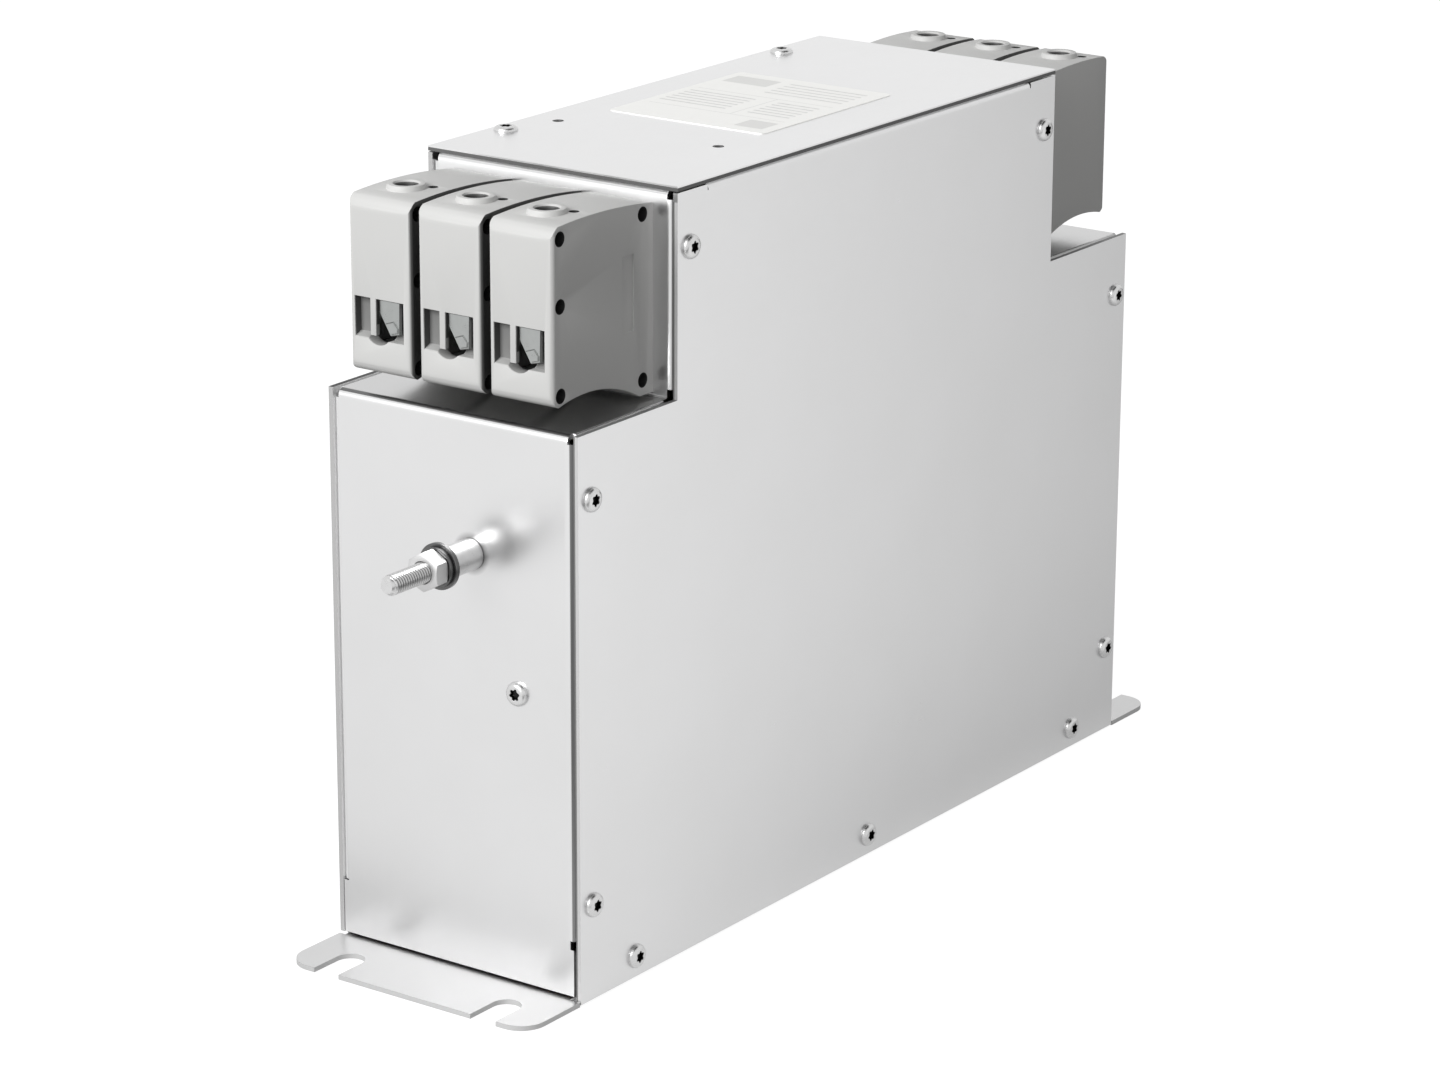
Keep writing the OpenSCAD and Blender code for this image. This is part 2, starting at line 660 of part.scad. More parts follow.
// Clamp screw with a socket head, standing on the saddle
module clamp_screw() color(bright) translate([port_x, clamp_d, 0]) difference() {
  union() {
    translate([0, 0, saddle_top]) cylinder(d = clamp_thread_d, h = head_top - saddle_top - 1);
    translate([0, 0, head_top - clamp_head_h]) cylinder(d = clamp_head_d, h = clamp_head_h);
  }
  translate([0, 0, head_top - clamp_head_h / 2]) cylinder(d = clamp_socket_d, h = clamp_head_h, $fn = 6);
}

module saddles(end) for (phase = phases) at_block(end, phase) saddle();
module clamp_screws(end) for (phase = phases) at_block(end, phase) clamp_screw();

module insulating_sheet() color("wheat") {
  width = strip_w - 4;
  length = body_l - 12;
  translate([-width / 2, -length / 2, sheet_t]) cube([width, length, film_t]);
}

// Shelf for the capacitors, with a tab at each end against the end panels
module component_tray() color(steel) {
  length = body_l - 2 * sheet_t;
  difference() {
    union() {
      translate([-tray_w / 2, -length / 2, tray_h]) cube([tray_w, length, sheet_t]);
      for (y = [-length / 2, length / 2 - sheet_t])
        translate([-tray_w / 2, y, tray_h - tray_tab]) cube([tray_w, sheet_t, tray_tab + cut]);
    }
    for (end = ["line", "load"])
      at_end(end) translate([panel_screw_x, -length / 2, panel_screw_z])
        drill_y(tapped_d, sheet_t + cut);
  }
}

// Puts a choke part in place, with +Z along the core's axis and the clamp side of the coils down
module at_choke(end)
  at_end(end) translate([0, -choke_pitch / 2, choke_z]) rotate([0, 90, 0]) children();

// Cradles with a hollow seat for the chokes
module choke_cradles() color("dimgray")
  for (end = ["line", "load"]) at_end(end) difference() {
    translate([-cradle_w / 2, -choke_pitch / 2 - cradle_l / 2, film_top])
      cube([cradle_w, cradle_l, cradle_h]);
    translate([-half_w, -choke_pitch / 2, choke_z]) rotate([0, 90, 0])
      cylinder(r = coil_r + mould_clear, h = body_w);
  }

module choke_core(end) color("gray") at_choke(end) difference() {
  translate([0, 0, -core_w / 2]) cylinder(r = core_r, h = core_w);
  translate([0, 0, -core_w / 2 - cut]) cylinder(r = core_hole_r, h = core_w + 2 * cut);
}

// Winding of one phase, a sleeve round a stretch of the core
module coil(end, phase) color(copper) at_choke(end)
  rotate([0, 0, 120 * phase + 60 - coil_arc / 2]) rotate_extrude(angle = coil_arc) difference() {
    translate([core_hole_r - coil_t, -core_w / 2 - coil_t])
      square([coil_r - core_hole_r + coil_t, core_w + 2 * coil_t]);
    translate([core_hole_r - mould_clear, -core_w / 2 - mould_clear])
      square([core_r - core_hole_r + 2 * mould_clear, core_w + 2 * mould_clear]);
  }

module capacitor(end, phase) color("gold") at_end(end)
  translate([(end == "line" ? phase - 2 : 2 - phase) * cap_pitch - cap_w / 2,
             -cap_y - cap_l / 2, tray_top])
    cube([cap_w, cap_l, cap_h]);

module earth_capacitor() color("gold")
  translate([-earth_cap_w / 2, -earth_cap_l / 2, tray_top])
    cube([earth_cap_w, earth_cap_l, earth_cap_h]);

module discharge_board() color("darkgreen")
  translate([-board_w / 2, -board_l / 2, board_z]) cube([board_w, board_l, board_t]);

module discharge_resistors() color("lightblue")
  for (phase = phases)
    translate([-resistor_l / 2, (phase - 2) * 3 * resistor_d, board_z + board_t + resistor_d / 2])
      rotate([0, 90, 0]) cylinder(d = resistor_d, h = resistor_l);

chassis();
line_panel();
load_panel();
side_cover();
top_cover();
rating_label();
cover_screws();
lid_screws();
panel_screws();
earth_studs();
earth_spacers();
earth_washers();
earth_lock_washers();
earth_nuts();
at_block("line", 1) terminal_block(1);  // line_block_1
at_block("line", 2) terminal_block(1);  // line_block_2
at_block("line", 3) terminal_block(1);  // line_block_3
at_block("load", 1) terminal_block(-1);  // load_block_1
at_block("load", 2) terminal_block(-1);  // load_block_2
at_block("load", 3) terminal_block(-1);  // load_block_3
at_block("line", 1) current_bar();  // line_bar_1
at_block("line", 2) current_bar();  // line_bar_2
at_block("line", 3) current_bar();  // line_bar_3
at_block("load", 1) current_bar();  // load_bar_1
at_block("load", 2) current_bar();  // load_bar_2
at_block("load", 3) current_bar();  // load_bar_3
at_block("line", 1) clamp_frame();  // line_frame_1
at_block("line", 2) clamp_frame();  // line_frame_2
at_block("line", 3) clamp_frame();  // line_frame_3
at_block("load", 1) clamp_frame();  // load_frame_1
at_block("load", 2) clamp_frame();  // load_frame_2
at_block("load", 3) clamp_frame();  // load_frame_3
saddles("line");  // line_saddles
saddles("load");  // load_saddles
clamp_screws("line");  // line_clamp_screws
clamp_screws("load");  // load_clamp_screws
insulating_sheet();
component_tray();
choke_cradles();
choke_core("line");  // line_choke_core
choke_core("load");  // load_choke_core
coil("line", 1);  // line_coil_1
coil("line", 2);  // line_coil_2
coil("line", 3);  // line_coil_3
coil("load", 1);  // load_coil_1
coil("load", 2);  // load_coil_2
coil("load", 3);  // load_coil_3
capacitor("line", 1);  // line_capacitor_1
capacitor("line", 2);  // line_capacitor_2
capacitor("line", 3);  // line_capacitor_3
capacitor("load", 1);  // load_capacitor_1
capacitor("load", 2);  // load_capacitor_2
capacitor("load", 3);  // load_capacitor_3
earth_capacitor();
discharge_board();
discharge_resistors();
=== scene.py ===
# %% [markdown]
# # A line filter in a folded sheet-metal housing
#
# This lesson dresses a finished CAD model of a mains line filter. The housing is thin
# zinc-coated sheet, folded and screwed together, with three moulded clamp terminals on a
# ledge at each end. The CAD model holds every piece at its real size. Blender adds what a
# construction drawing leaves out: sockets in the screw heads, threads, soft edges on the
# mouldings, and surfaces that answer to light.

import math

import bmesh
import bpy
from mathutils import Matrix, Vector


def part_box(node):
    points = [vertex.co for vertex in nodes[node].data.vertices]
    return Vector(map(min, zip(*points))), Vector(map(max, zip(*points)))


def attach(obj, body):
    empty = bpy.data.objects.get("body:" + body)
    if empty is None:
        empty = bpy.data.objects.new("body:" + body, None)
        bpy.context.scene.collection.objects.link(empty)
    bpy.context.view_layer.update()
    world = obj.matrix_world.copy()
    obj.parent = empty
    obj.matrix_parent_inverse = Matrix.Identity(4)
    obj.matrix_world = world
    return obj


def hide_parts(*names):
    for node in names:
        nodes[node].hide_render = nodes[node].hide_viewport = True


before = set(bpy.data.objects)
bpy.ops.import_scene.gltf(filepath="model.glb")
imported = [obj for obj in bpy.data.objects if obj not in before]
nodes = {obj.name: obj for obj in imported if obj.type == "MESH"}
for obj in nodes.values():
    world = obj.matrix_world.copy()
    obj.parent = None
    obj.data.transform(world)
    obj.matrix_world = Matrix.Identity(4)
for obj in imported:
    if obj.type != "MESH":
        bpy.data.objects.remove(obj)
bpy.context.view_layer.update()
MM = 0.001
print("pieces in the model:", len(nodes))

# %% [markdown]
# ## Camera
#
# A product camera stands well back and uses a long lens, so that upright edges stay almost
# parallel. Its place is easiest to state as a direction and a distance from a point in the
# housing. A tilt of a fifth of a degree about the line of sight finishes the framing.

# %% Place the camera
AZIMUTH, ELEVATION, TILT = math.radians(35.42), math.radians(17.47), math.radians(0.22)
CAMERA_DISTANCE = 1446 * MM
LENS, SENSOR = 116.1, 36.0
AIM = Vector((-23.2, 16.2, 84.5)) * MM

backward = Vector((
    math.sin(AZIMUTH) * math.cos(ELEVATION),
    -math.cos(AZIMUTH) * math.cos(ELEVATION),
    math.sin(ELEVATION),
))
camera_data = bpy.data.cameras.new("camera")
camera_data.lens, camera_data.sensor_width = LENS, SENSOR
camera_data.clip_start, camera_data.clip_end = 0.05, 50
camera = bpy.data.objects.new("camera", camera_data)
camera.location = AIM + backward * CAMERA_DISTANCE
level = (-backward).to_track_quat("-Z", "Y").to_matrix().to_4x4()
camera.rotation_euler = (level @ Matrix.Rotation(TILT, 4, "Z")).to_euler()
bpy.context.scene.collection.objects.link(camera)
bpy.context.scene.camera = camera
print("camera at, in mm:", [round(v / MM) for v in camera.location])

# %% [markdown]
# ## Finishes as arithmetic
#
# A finish is a network of nodes, and written out node by node it hides its own idea. So a
# Signal stands for one socket, and ordinary arithmetic on it adds the Math nodes. A Finish
# owns a material and ends in one Principled shader. Every pattern is measured in the
# object's own coordinates, in millimetres, so grain has its real size on each piece.

# %% Define the finish helpers
class Signal:
    """One socket of a finish. Arithmetic on it adds Math nodes."""

    def __init__(self, finish, socket):
        self.finish, self.socket = finish, socket

    def math(self, operation, *operands):
        return self.finish.add("ShaderNodeMath", {"operation": operation}, *operands)

    def __add__(self, other):
        return self.math("ADD", self, other)

    def __sub__(self, other):
        return self.math("SUBTRACT", self, other)

    def __rsub__(self, other):
        return self.math("SUBTRACT", other, self)

    def __mul__(self, other):
        return self.math("MULTIPLY", self, other)

    def __truediv__(self, other):
        return self.math("DIVIDE", self, other)

    def __gt__(self, other):
        return self.math("GREATER_THAN", self, other)

    def __lt__(self, other):
        return self.math("LESS_THAN", self, other)

    def __abs__(self):
        return self.math("ABSOLUTE", self)

    def power(self, other):
        return self.math("POWER", self, other)

    def sine(self):
        return self.math("SINE", self)

    def fraction(self):
        return self.math("FRACT", self)

    def either(self, other):
        return self.math("MAXIMUM", self, other)

    def clamp(self):
        return self.math("MINIMUM", self.math("MAXIMUM", self, 0.0), 1.0)

    def angle(self, other):
        return self.math("ARCTAN2", self, other)

    __radd__ = __add__
    __rmul__ = __mul__


class Finish:
    """A material whose pattern is built from Signals."""

    def __init__(self, name):
        self.material = bpy.data.materials.new(name)
        self.material.use_nodes = True
        self.tree = self.material.node_tree
        self.tree.nodes.clear()
        self.shader = self.tree.nodes.new("ShaderNodeBsdfPrincipled")
        output = self.tree.nodes.new("ShaderNodeOutputMaterial")
        self.tree.links.new(self.shader.outputs[0], output.inputs[0])
        coordinates = self.tree.nodes.new("ShaderNodeTexCoord")
        metres = Signal(self, coordinates.outputs["Object"])
        self.place = self.add(
            "ShaderNodeVectorMath", {"operation": "SCALE"}, metres, None, None, 1 / MM
        )
        self.facing = Signal(self, coordinates.outputs["Normal"])

    def add(self, kind, settings, *inputs, output=0, **named):
        """Adds a node: its settings first, then the values or Signals of its sockets."""
        node = self.tree.nodes.new(kind)
        stops = settings.pop("stops", None)
        for key, value in settings.items():
            setattr(node, key, value)
        if stops:
            ramp = node.color_ramp
            while len(ramp.elements) < len(stops):
                ramp.elements.new(0.5)
            for element, (position, colour) in zip(ramp.elements, stops):
                element.position, element.color = position, colour
        sockets = list(enumerate(inputs)) + [(k.replace("_", " "), v) for k, v in named.items()]
        for key, value in sockets:
            self.feed(node.inputs[key], value)
        return Signal(self, node.outputs[output])

    def feed(self, socket, value):
        if isinstance(value, Signal):
            self.tree.links.new(value.socket, socket)
        elif value is not None:
            socket.default_value = value

    def set(self, **sockets):
        for key, value in sockets.items():
            self.feed(self.shader.inputs[key.replace("_", " ")], value)
        return self

    def noise(self, size, detail=2.0, stretch=(1, 1, 1)):
        """Smooth noise from 0 to 1 whose features are about size millimetres wide."""
        stretched = self.add("ShaderNodeVectorMath", {"operation": "DIVIDE"}, self.place, stretch)
        return self.add("ShaderNodeTexNoise", {}, Vector=stretched, Scale=1 / size, Detail=detail)

    def parts(self, vector):
        node = self.tree.nodes.new("ShaderNodeSeparateXYZ")
        self.tree.links.new(vector.socket, node.inputs[0])
        return [Signal(self, output) for output in node.outputs]

    def mix(self, mask, first, second):
        """first where the mask is 0, second where it is 1; both are colours."""
        node = self.tree.nodes.new("ShaderNodeMix")
        node.data_type = "RGBA"
        self.feed(node.inputs["Factor"], mask)
        self.feed(node.inputs["A"], first)
        self.feed(node.inputs["B"], second)
        colour = [socket for socket in node.outputs if socket.type == "RGBA"][0]
        return Signal(self, colour)

    def bump(self, height, depth):
        """Shades height, from 0 to 1, as a relief of depth millimetres."""
        relief = self.add("ShaderNodeBump", {}, Strength=1.0, Distance=depth * MM, Height=height)
        return self.set(Normal=relief)


def grey(level, tint=(1, 1, 1)):
    return tuple(level * part for part in tint) + (1,)


def wear(node, finish):
    """Gives a model piece its finish."""
    slots = nodes[node].material_slots
    if not slots:
        nodes[node].data.materials.append(None)
    for slot in nodes[node].material_slots:
        slot.material = finish.material


print("finish helpers ready")

# %% [markdown]
# ## Zinc-coated sheet
#
# The housing is bright zinc-coated steel. Rolling leaves a fine grain along the strip and a
# faint cloudiness, and both change how sharply the surface reflects more than how bright it
# is. So the noise goes to the roughness first and only a little to the colour. Where the
# sheet was cut, bare steel shows along a thin dull edge. A mask finds those edges from the
# way a face points, and each piece says which directions its own cut edges face. Some edge
# tones are painted light and shade: the rim faces by the ledge and lid are painted near
# black as the shade of their seams, and the lid's cut edge is painted dark as the shadow
# line under it. The side cover's edges are painted dark on their inner part as the shade of
# the gap and light on their outer part as a highlight. The flange tops get a little painted
# shade, and the inner wall of the chassis's left groove is painted pale as light.
#
# The end panels are folded in a press brake, and a folded sheet rolls a little before the
# bend itself begins. That roll is a bump: its height grows with the square of the distance
# past the line where it starts. The bends and the ledge are duller than the rest. Painted
# shade darkens the fold faces, the ledge, the panels' right edges and a ring round the foot
# of each stud, and painted light makes the left flank less metallic, so that it shows pale.

# %% Make the sheet finishes
FOLD_DEPTH, GRAIN_DEPTH, SHEET = 0.8, 0.012, 1.5
# Tones of the cut edges: bare steel and the flange edges are the steel's own, the rim, lid-edge and
# bend tones are painted shade, and the groove tone is painted light.
BARE_STEEL, FLANGE_EDGE, GROOVE_LIGHT, RIM_SHADE, LID_EDGE_SHADE, PAINTED_SHADE_TONE = 0.45, 0.60, 0.90, 0.02, 0.12, 0.03
# The side cover's edge tones: the inner one is painted shade of the gap, the outer one a painted
# highlight.
COVER_INSIDE_SHADE, COVER_OUTSIDE_HIGHLIGHT, COVER_UPWARD = 0.19, 0.55, 0.23


def sheet_finish(name, level=0.72, gloss=0.30, grain_along=(1, 1, 1), cut_edge=None, folds=None):
    """Zinc-coated sheet of the given brightness, whose grain is stretched along one axis.

    cut_edge gives the mask and the tone of the cut edges, some of them painted light and
    shade. folds gives the fall of the sheet beside its folds, where it is duller, and where
    shade and light are painted on it.
    """
    finish = Finish(name)
    cloud = finish.noise(42, detail=3)
    grain = finish.noise(0.9, detail=2, stretch=grain_along)
    spangle = finish.noise(5, detail=1)
    shade = finish.mix(cloud, grey(level * 0.97), grey(level * 1.03, (1, 1, 1.005)))
    rough = cloud * 0.05 + spangle * 0.04 + grain * 0.05 + (gloss - 0.07)
    metal = 1.0
    if cut_edge:
        mask, tone = cut_edge(finish)
        shade = finish.mix(mask, shade, tone)
        rough = rough + mask * 0.2
        metal = mask * -0.6 + 1.0
    relief = (grain * 0.4 + cloud * 0.6) * (GRAIN_DEPTH / FOLD_DEPTH)
    if folds:
        bent, duller, painted_shade, painted_light = folds(finish)
        relief, rough, metal = relief - bent, rough + duller, 1 - painted_light
        shade = finish.mix(painted_shade, shade, grey(PAINTED_SHADE_TONE))
    finish.set(Base_Color=shade, Metallic=metal, Roughness=rough)
    return finish.bump(relief, FOLD_DEPTH)


LID_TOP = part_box("top_cover")[1].z / MM
PANEL_SIDE, HALF_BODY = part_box("line_panel")[1].x / MM, abs(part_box("line_panel")[0].y) / MM
LEDGE, APRON_TOP = 167.0, 19.0
CREST_START, CREST_L, BROW_L, SHOULDER_L = 7.5, 5.0, 2.8, 3.6
STUD_X, STUD_Z, STUD_SHADOW_R = 6.5, 127.0, 6.5


def chassis_edges(finish):
    """Cut edges of the flanges; the rim painted as shade, the groove painted as light, and a little
    shade painted on the flange tops.
    """
    normal, place = finish.parts(finish.facing), finish.parts(finish.place)
    flange = (abs(normal[2]) < 0.5) * (place[2] < SHEET - 0.05) * (abs(place[1]) > HALF_BODY + 0.2)
    # Painted shade: upward rim faces by the ledge and lid are nearly black, as the shade of their
    # seams.
    rim = (normal[2] > 0.7) * (place[2] > LEDGE - 8)
    # Painted light: the inner wall of the left groove is pale and less metallic.
    groove = (normal[0] > 0.7) * (place[0] < -40) * (abs(place[1]) > 141)
    # Painted shade: the flange tops are a little dark, standing in for dimmer reflections there.
    foot = (normal[2] > 0.9) * (abs(place[1]) > HALF_BODY) * (place[2] < 2) * 0.28
    edges = flange.either(abs(normal[1]) > 0.8).either(rim).either(groove).either(foot)
    tone = rim * (RIM_SHADE - BARE_STEEL) + groove * (GROOVE_LIGHT - BARE_STEEL)
    return edges, tone + flange * (FLANGE_EDGE - BARE_STEEL) + BARE_STEEL


def panel_folds(finish):
    """How far the sheet falls away beside its folds, where it is duller, and its painted shade and
    light.
    """
    normal, place = finish.parts(finish.facing), finish.parts(finish.place)
    turn = (place[1] < 0) * 2 - 1
    right, face_right = place[0] * turn, normal[0] * turn
    front = abs(normal[1]) > 0.7
    upper, lower = place[2] > LEDGE, place[2] < LEDGE
    above_apron = place[2] > APRON_TOP
    crest = ((place[2] - (LID_TOP - CREST_START)) / CREST_L).clamp() * upper
    brow = ((place[2] - (LEDGE - BROW_L)) / BROW_L).clamp() * lower * 0.7
    shoulder = ((right - (PANEL_SIDE - SHOULDER_L)) / SHOULDER_L).clamp() * 0.77
    shoulder = shoulder * lower * above_apron
    bent = front * (crest.power(2) + brow.power(2) + shoulder.power(2))
    # Painted shade: the fold faces by the bends are nearly black, the ledge is a little dark as the
    # shadow and dark reflections of the blocks, and the panels' right edges are dark as the shade
    # of their seam.
    ledge = normal[2] > 0.985
    fold = ((normal[2] > 0.7) * (abs(place[1]) > HALF_BODY - 2.2) - ledge).either(0.0) * 0.8
    painted_shade = fold.either(ledge * 0.25)
    painted_shade = painted_shade.either((face_right > 0.3) * lower * 0.7).either((face_right > 0.6) * 0.6)
    # Painted shade: a dark ring round the foot of each stud, as the contact shadow of its sleeve.
    aside, above = right - STUD_X, place[2] - STUD_Z
    ring = (((aside * aside + above * above).power(0.5) - STUD_SHADOW_R) / -2.0).clamp() * 0.5
    painted_shade = painted_shade.either(ring * front)
    # Painted light: the left flank is made less metallic, so that it shows pale in its shaded
    # groove.
    painted_light = (face_right < -0.2) * (right < 0) * 0.8
    return bent, ledge * -0.11, painted_shade, painted_light


def side_edges(finish):
    """Cut edges of the side cover: dark inside as painted shade, light outside as a painted
    highlight, and dull where they face up.
    """
    normal, place = finish.parts(finish.facing), finish.parts(finish.place)
    upright, outer = abs(normal[2]) < 0.7, place[0] > PANEL_SIDE + 0.45
    cut = (abs(normal[0]) < 0.3) * (place[2] < LID_TOP - 4.5)
    tone = outer * (COVER_OUTSIDE_HIGHLIGHT - COVER_INSIDE_SHADE) + (COVER_INSIDE_SHADE - COVER_UPWARD)
    return cut, upright * tone + COVER_UPWARD


def lid_edges(finish):
    """The lid's cut edge, painted dark apart from its upper rim, as the shadow line under the lid.
    """
    upright = abs(finish.parts(finish.facing)[2]) < 0.5
    return upright * (finish.parts(finish.place)[2] < LID_TOP - 0.45), grey(LID_EDGE_SHADE)


wear("chassis", sheet_finish("chassis_sheet", grain_along=(1, 12, 1), cut_edge=chassis_edges))
wear("side_cover", sheet_finish("side_sheet", grain_along=(1, 12, 1), cut_edge=side_edges))
# The lid's sheet is painted a little brighter than the other sheets, standing in for the light that
# falls on the top.
wear("top_cover", sheet_finish("top_sheet", level=0.77, grain_along=(1, 12, 1), cut_edge=lid_edges))
for panel in ("line_panel", "load_panel"):
    wear(panel, sheet_finish(
        panel + "_sheet", gloss=0.31, grain_along=(1, 12, 12), folds=panel_folds))
wear("component_tray", sheet_finish("tray_sheet", level=0.5, grain_along=(1, 12, 1)))
print("sheet finishes:", [m.name for m in bpy.data.materials if m.name.endswith("_sheet")])

# %% [markdown]
# ## Plated fasteners
#
# Screws, nuts and washers are zinc-plated and a little brighter than the sheet. Handling
# and the tool leave small marks, which a fine noise stands for. Points that a mesh marks as
# a recess, in sockets and thread roots, are painted near black as shade. The earth studs'
# washers are painted dark too, as the shade in the narrow gaps between sleeve and nut.

# %% Make the fastener finish
def plated_finish(name, level, gloss, tint=(1, 1, 1)):
    finish = Finish(name)
    cloud, grain = finish.noise(2.2, detail=3), finish.noise(0.25, detail=2)
    # Painted shade: points deep in sockets and thread roots are painted near black.
    recess = finish.add("ShaderNodeAttribute", {"attribute_name": "recess"}, output=2)
    shade = finish.mix(cloud, grey(level * 0.9, tint), grey(level * 1.06, tint))
    shade = finish.mix(recess.clamp(), shade, grey(0.02))
    rough = cloud * 0.1 + grain * 0.08 + (gloss - 0.09)
    finish.set(Base_Color=shade, Metallic=0.95, Roughness=rough)
    return finish.bump(grain, 0.01)


plated = plated_finish("plated_fastener", 0.66, 0.28)
print("finish:", plated.material.name)

# %% [markdown]
# ## Meshes from rings
#
# Nearly every turned piece is a stack of rings: a screw head, a sleeve, a washer, a nut.
# A ring is a height and a radius, and the radius may be a function of the angle, so a hexagon
# and a star socket come from the same helper. Rings follow the outline with the material on
# their inner side, and a ring of radius zero closes the surface on the axis.

# %% Define the ring mesh
def ring_mesh(name, rings, steps, closed=False, recess=None):
    """Skins rings given as (radius, height), each a number or a function of the angle.

    The last argument tells from a ring's number and a point's radius in millimetres how
    deep in a hollow the point lies, from 0 to 1. The finish paints such points dark, as
    shade.
    """
    def value(item, angle):
        return item(angle) if callable(item) else item

    mesh = bmesh.new()
    depth = mesh.verts.layers.float.new("recess")
    rows = []
    for radius, height in rings:
        row = []
        for step in range(1 if radius == 0 else steps):
            angle = 2 * math.pi * step / steps
            r, z = value(radius, angle), value(height, angle)
            vertex = mesh.verts.new((r * MM * math.cos(angle), r * MM * math.sin(angle), z * MM))
            vertex[depth] = recess(len(rows), r) if recess else 0
            row.append(vertex)
        rows.append(row)
    pairs = list(zip(rows, rows[1:])) + ([(rows[-1], rows[0])] if closed else [])
    for low, high in pairs:
        for step in range(steps):
            after = (step + 1) % steps
            if len(low) == 1:
                mesh.faces.new((low[0], high[after], high[step]))
            elif len(high) == 1:
                mesh.faces.new((low[step], low[after], high[0]))
            else:
                mesh.faces.new((low[step], low[after], high[after], high[step]))
    bmesh.ops.recalc_face_normals(mesh, faces=mesh.faces)
    data = bpy.data.meshes.new(name)
    mesh.to_mesh(data)
    mesh.free()
    return data


def piece(name, data, finish, place=Matrix.Identity(4), smooth=math.radians(35)):
    """A finished object at the origin, with its place in its mesh and soft curved faces."""
    data.transform(place)
    data.materials.clear()
    data.materials.append(finish.material)
    shape = bpy.data.objects.new(name, data)
    bpy.context.scene.collection.objects.link(shape)
    data.shade_smooth()
    data.set_sharp_from_angle(angle=smooth)
    return shape


def settle(shape, *stands_for, slot=None):
    """Rides the piece on the housing and lets it stand for model pieces."""
    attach(shape, "root")
    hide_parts(*stands_for)
    low = min(v.co.z for v in shape.data.vertices) / MM
    high = max(v.co.z for v in shape.data.vertices) / MM
    print(f"{shape.name}: {len(shape.data.polygons)} faces, z {low:.1f} to {high:.1f} mm")


print("ring helpers ready")

# %% [markdown]
# ## A pan-head screw with a star socket
#
# The drive is a six-lobed star. Its outline is a circle whose radius swells and shrinks six
# times round the turn, so the same number of points serves the star and the round head, and
# the mesh stays one clean skin from the bottom of the socket to the tip of the shank. The
# pattern's head is tall, and each set of screws says how much lower its own heads are.

# %% Make one screw
HEAD_D, HEAD_H, SHANK_D, SHANK_L = 7.2, 2.7, 4.0, 8.0
SOCKET_D, SOCKET_DEPTH, LOBES = 3.4, 1.7, 6


def star(angle):
    """Radius of the star socket's outline."""
    return SOCKET_D / 2 * (0.86 + 0.14 * math.cos(LOBES * angle))


def wider_star(angle):
    return star(angle) + 0.22


def head_outline(count=7):
    """Rings from the socket's rim over the crown and down to the flat under the head."""
    rings, rim = [], SOCKET_D / 2 + 0.45
    for step in range(count + 1):
        turn = math.pi / 2 * step / count
        radius = rim + (HEAD_D / 2 - rim) * math.sin(turn)
        rings.append((radius, 0.55 + (HEAD_H - 0.55) * math.cos(turn)))
    return rings


screw_rings = [(0, HEAD_H - SOCKET_DEPTH - 0.4), (0.6, HEAD_H - SOCKET_DEPTH - 0.2)]
screw_rings += [(star, HEAD_H - SOCKET_DEPTH), (star, HEAD_H - 0.25), (wider_star, HEAD_H)]
screw_rings += head_outline()
screw_rings += [(HEAD_D / 2 - 0.1, 0.12), (HEAD_D / 2 - 0.3, 0), (SHANK_D / 2, 0)]
screw_rings += [(SHANK_D / 2, -SHANK_L + 0.6), (SHANK_D / 2 - 0.6, -SHANK_L), (0, -SHANK_L)]
screw_data = ring_mesh("screw", screw_rings, steps=72, recess=lambda ring, radius: float(ring < 4))
screw_pattern = piece("screw_pattern", screw_data, plated)
print("one screw has", len(screw_data.polygons), "faces")

# %% [markdown]
# ## Screws where the model has them
#
# A factory drives every screw from one bin, so one screw is repeated. Geometry Nodes places a
# copy on each point, turns it to stand out of its panel, and spins it by a random amount,
# because no two screws stop at the same angle. The points come from the model: each separate
# solid of a screw node gives one place, and the node's name says which way it faces.

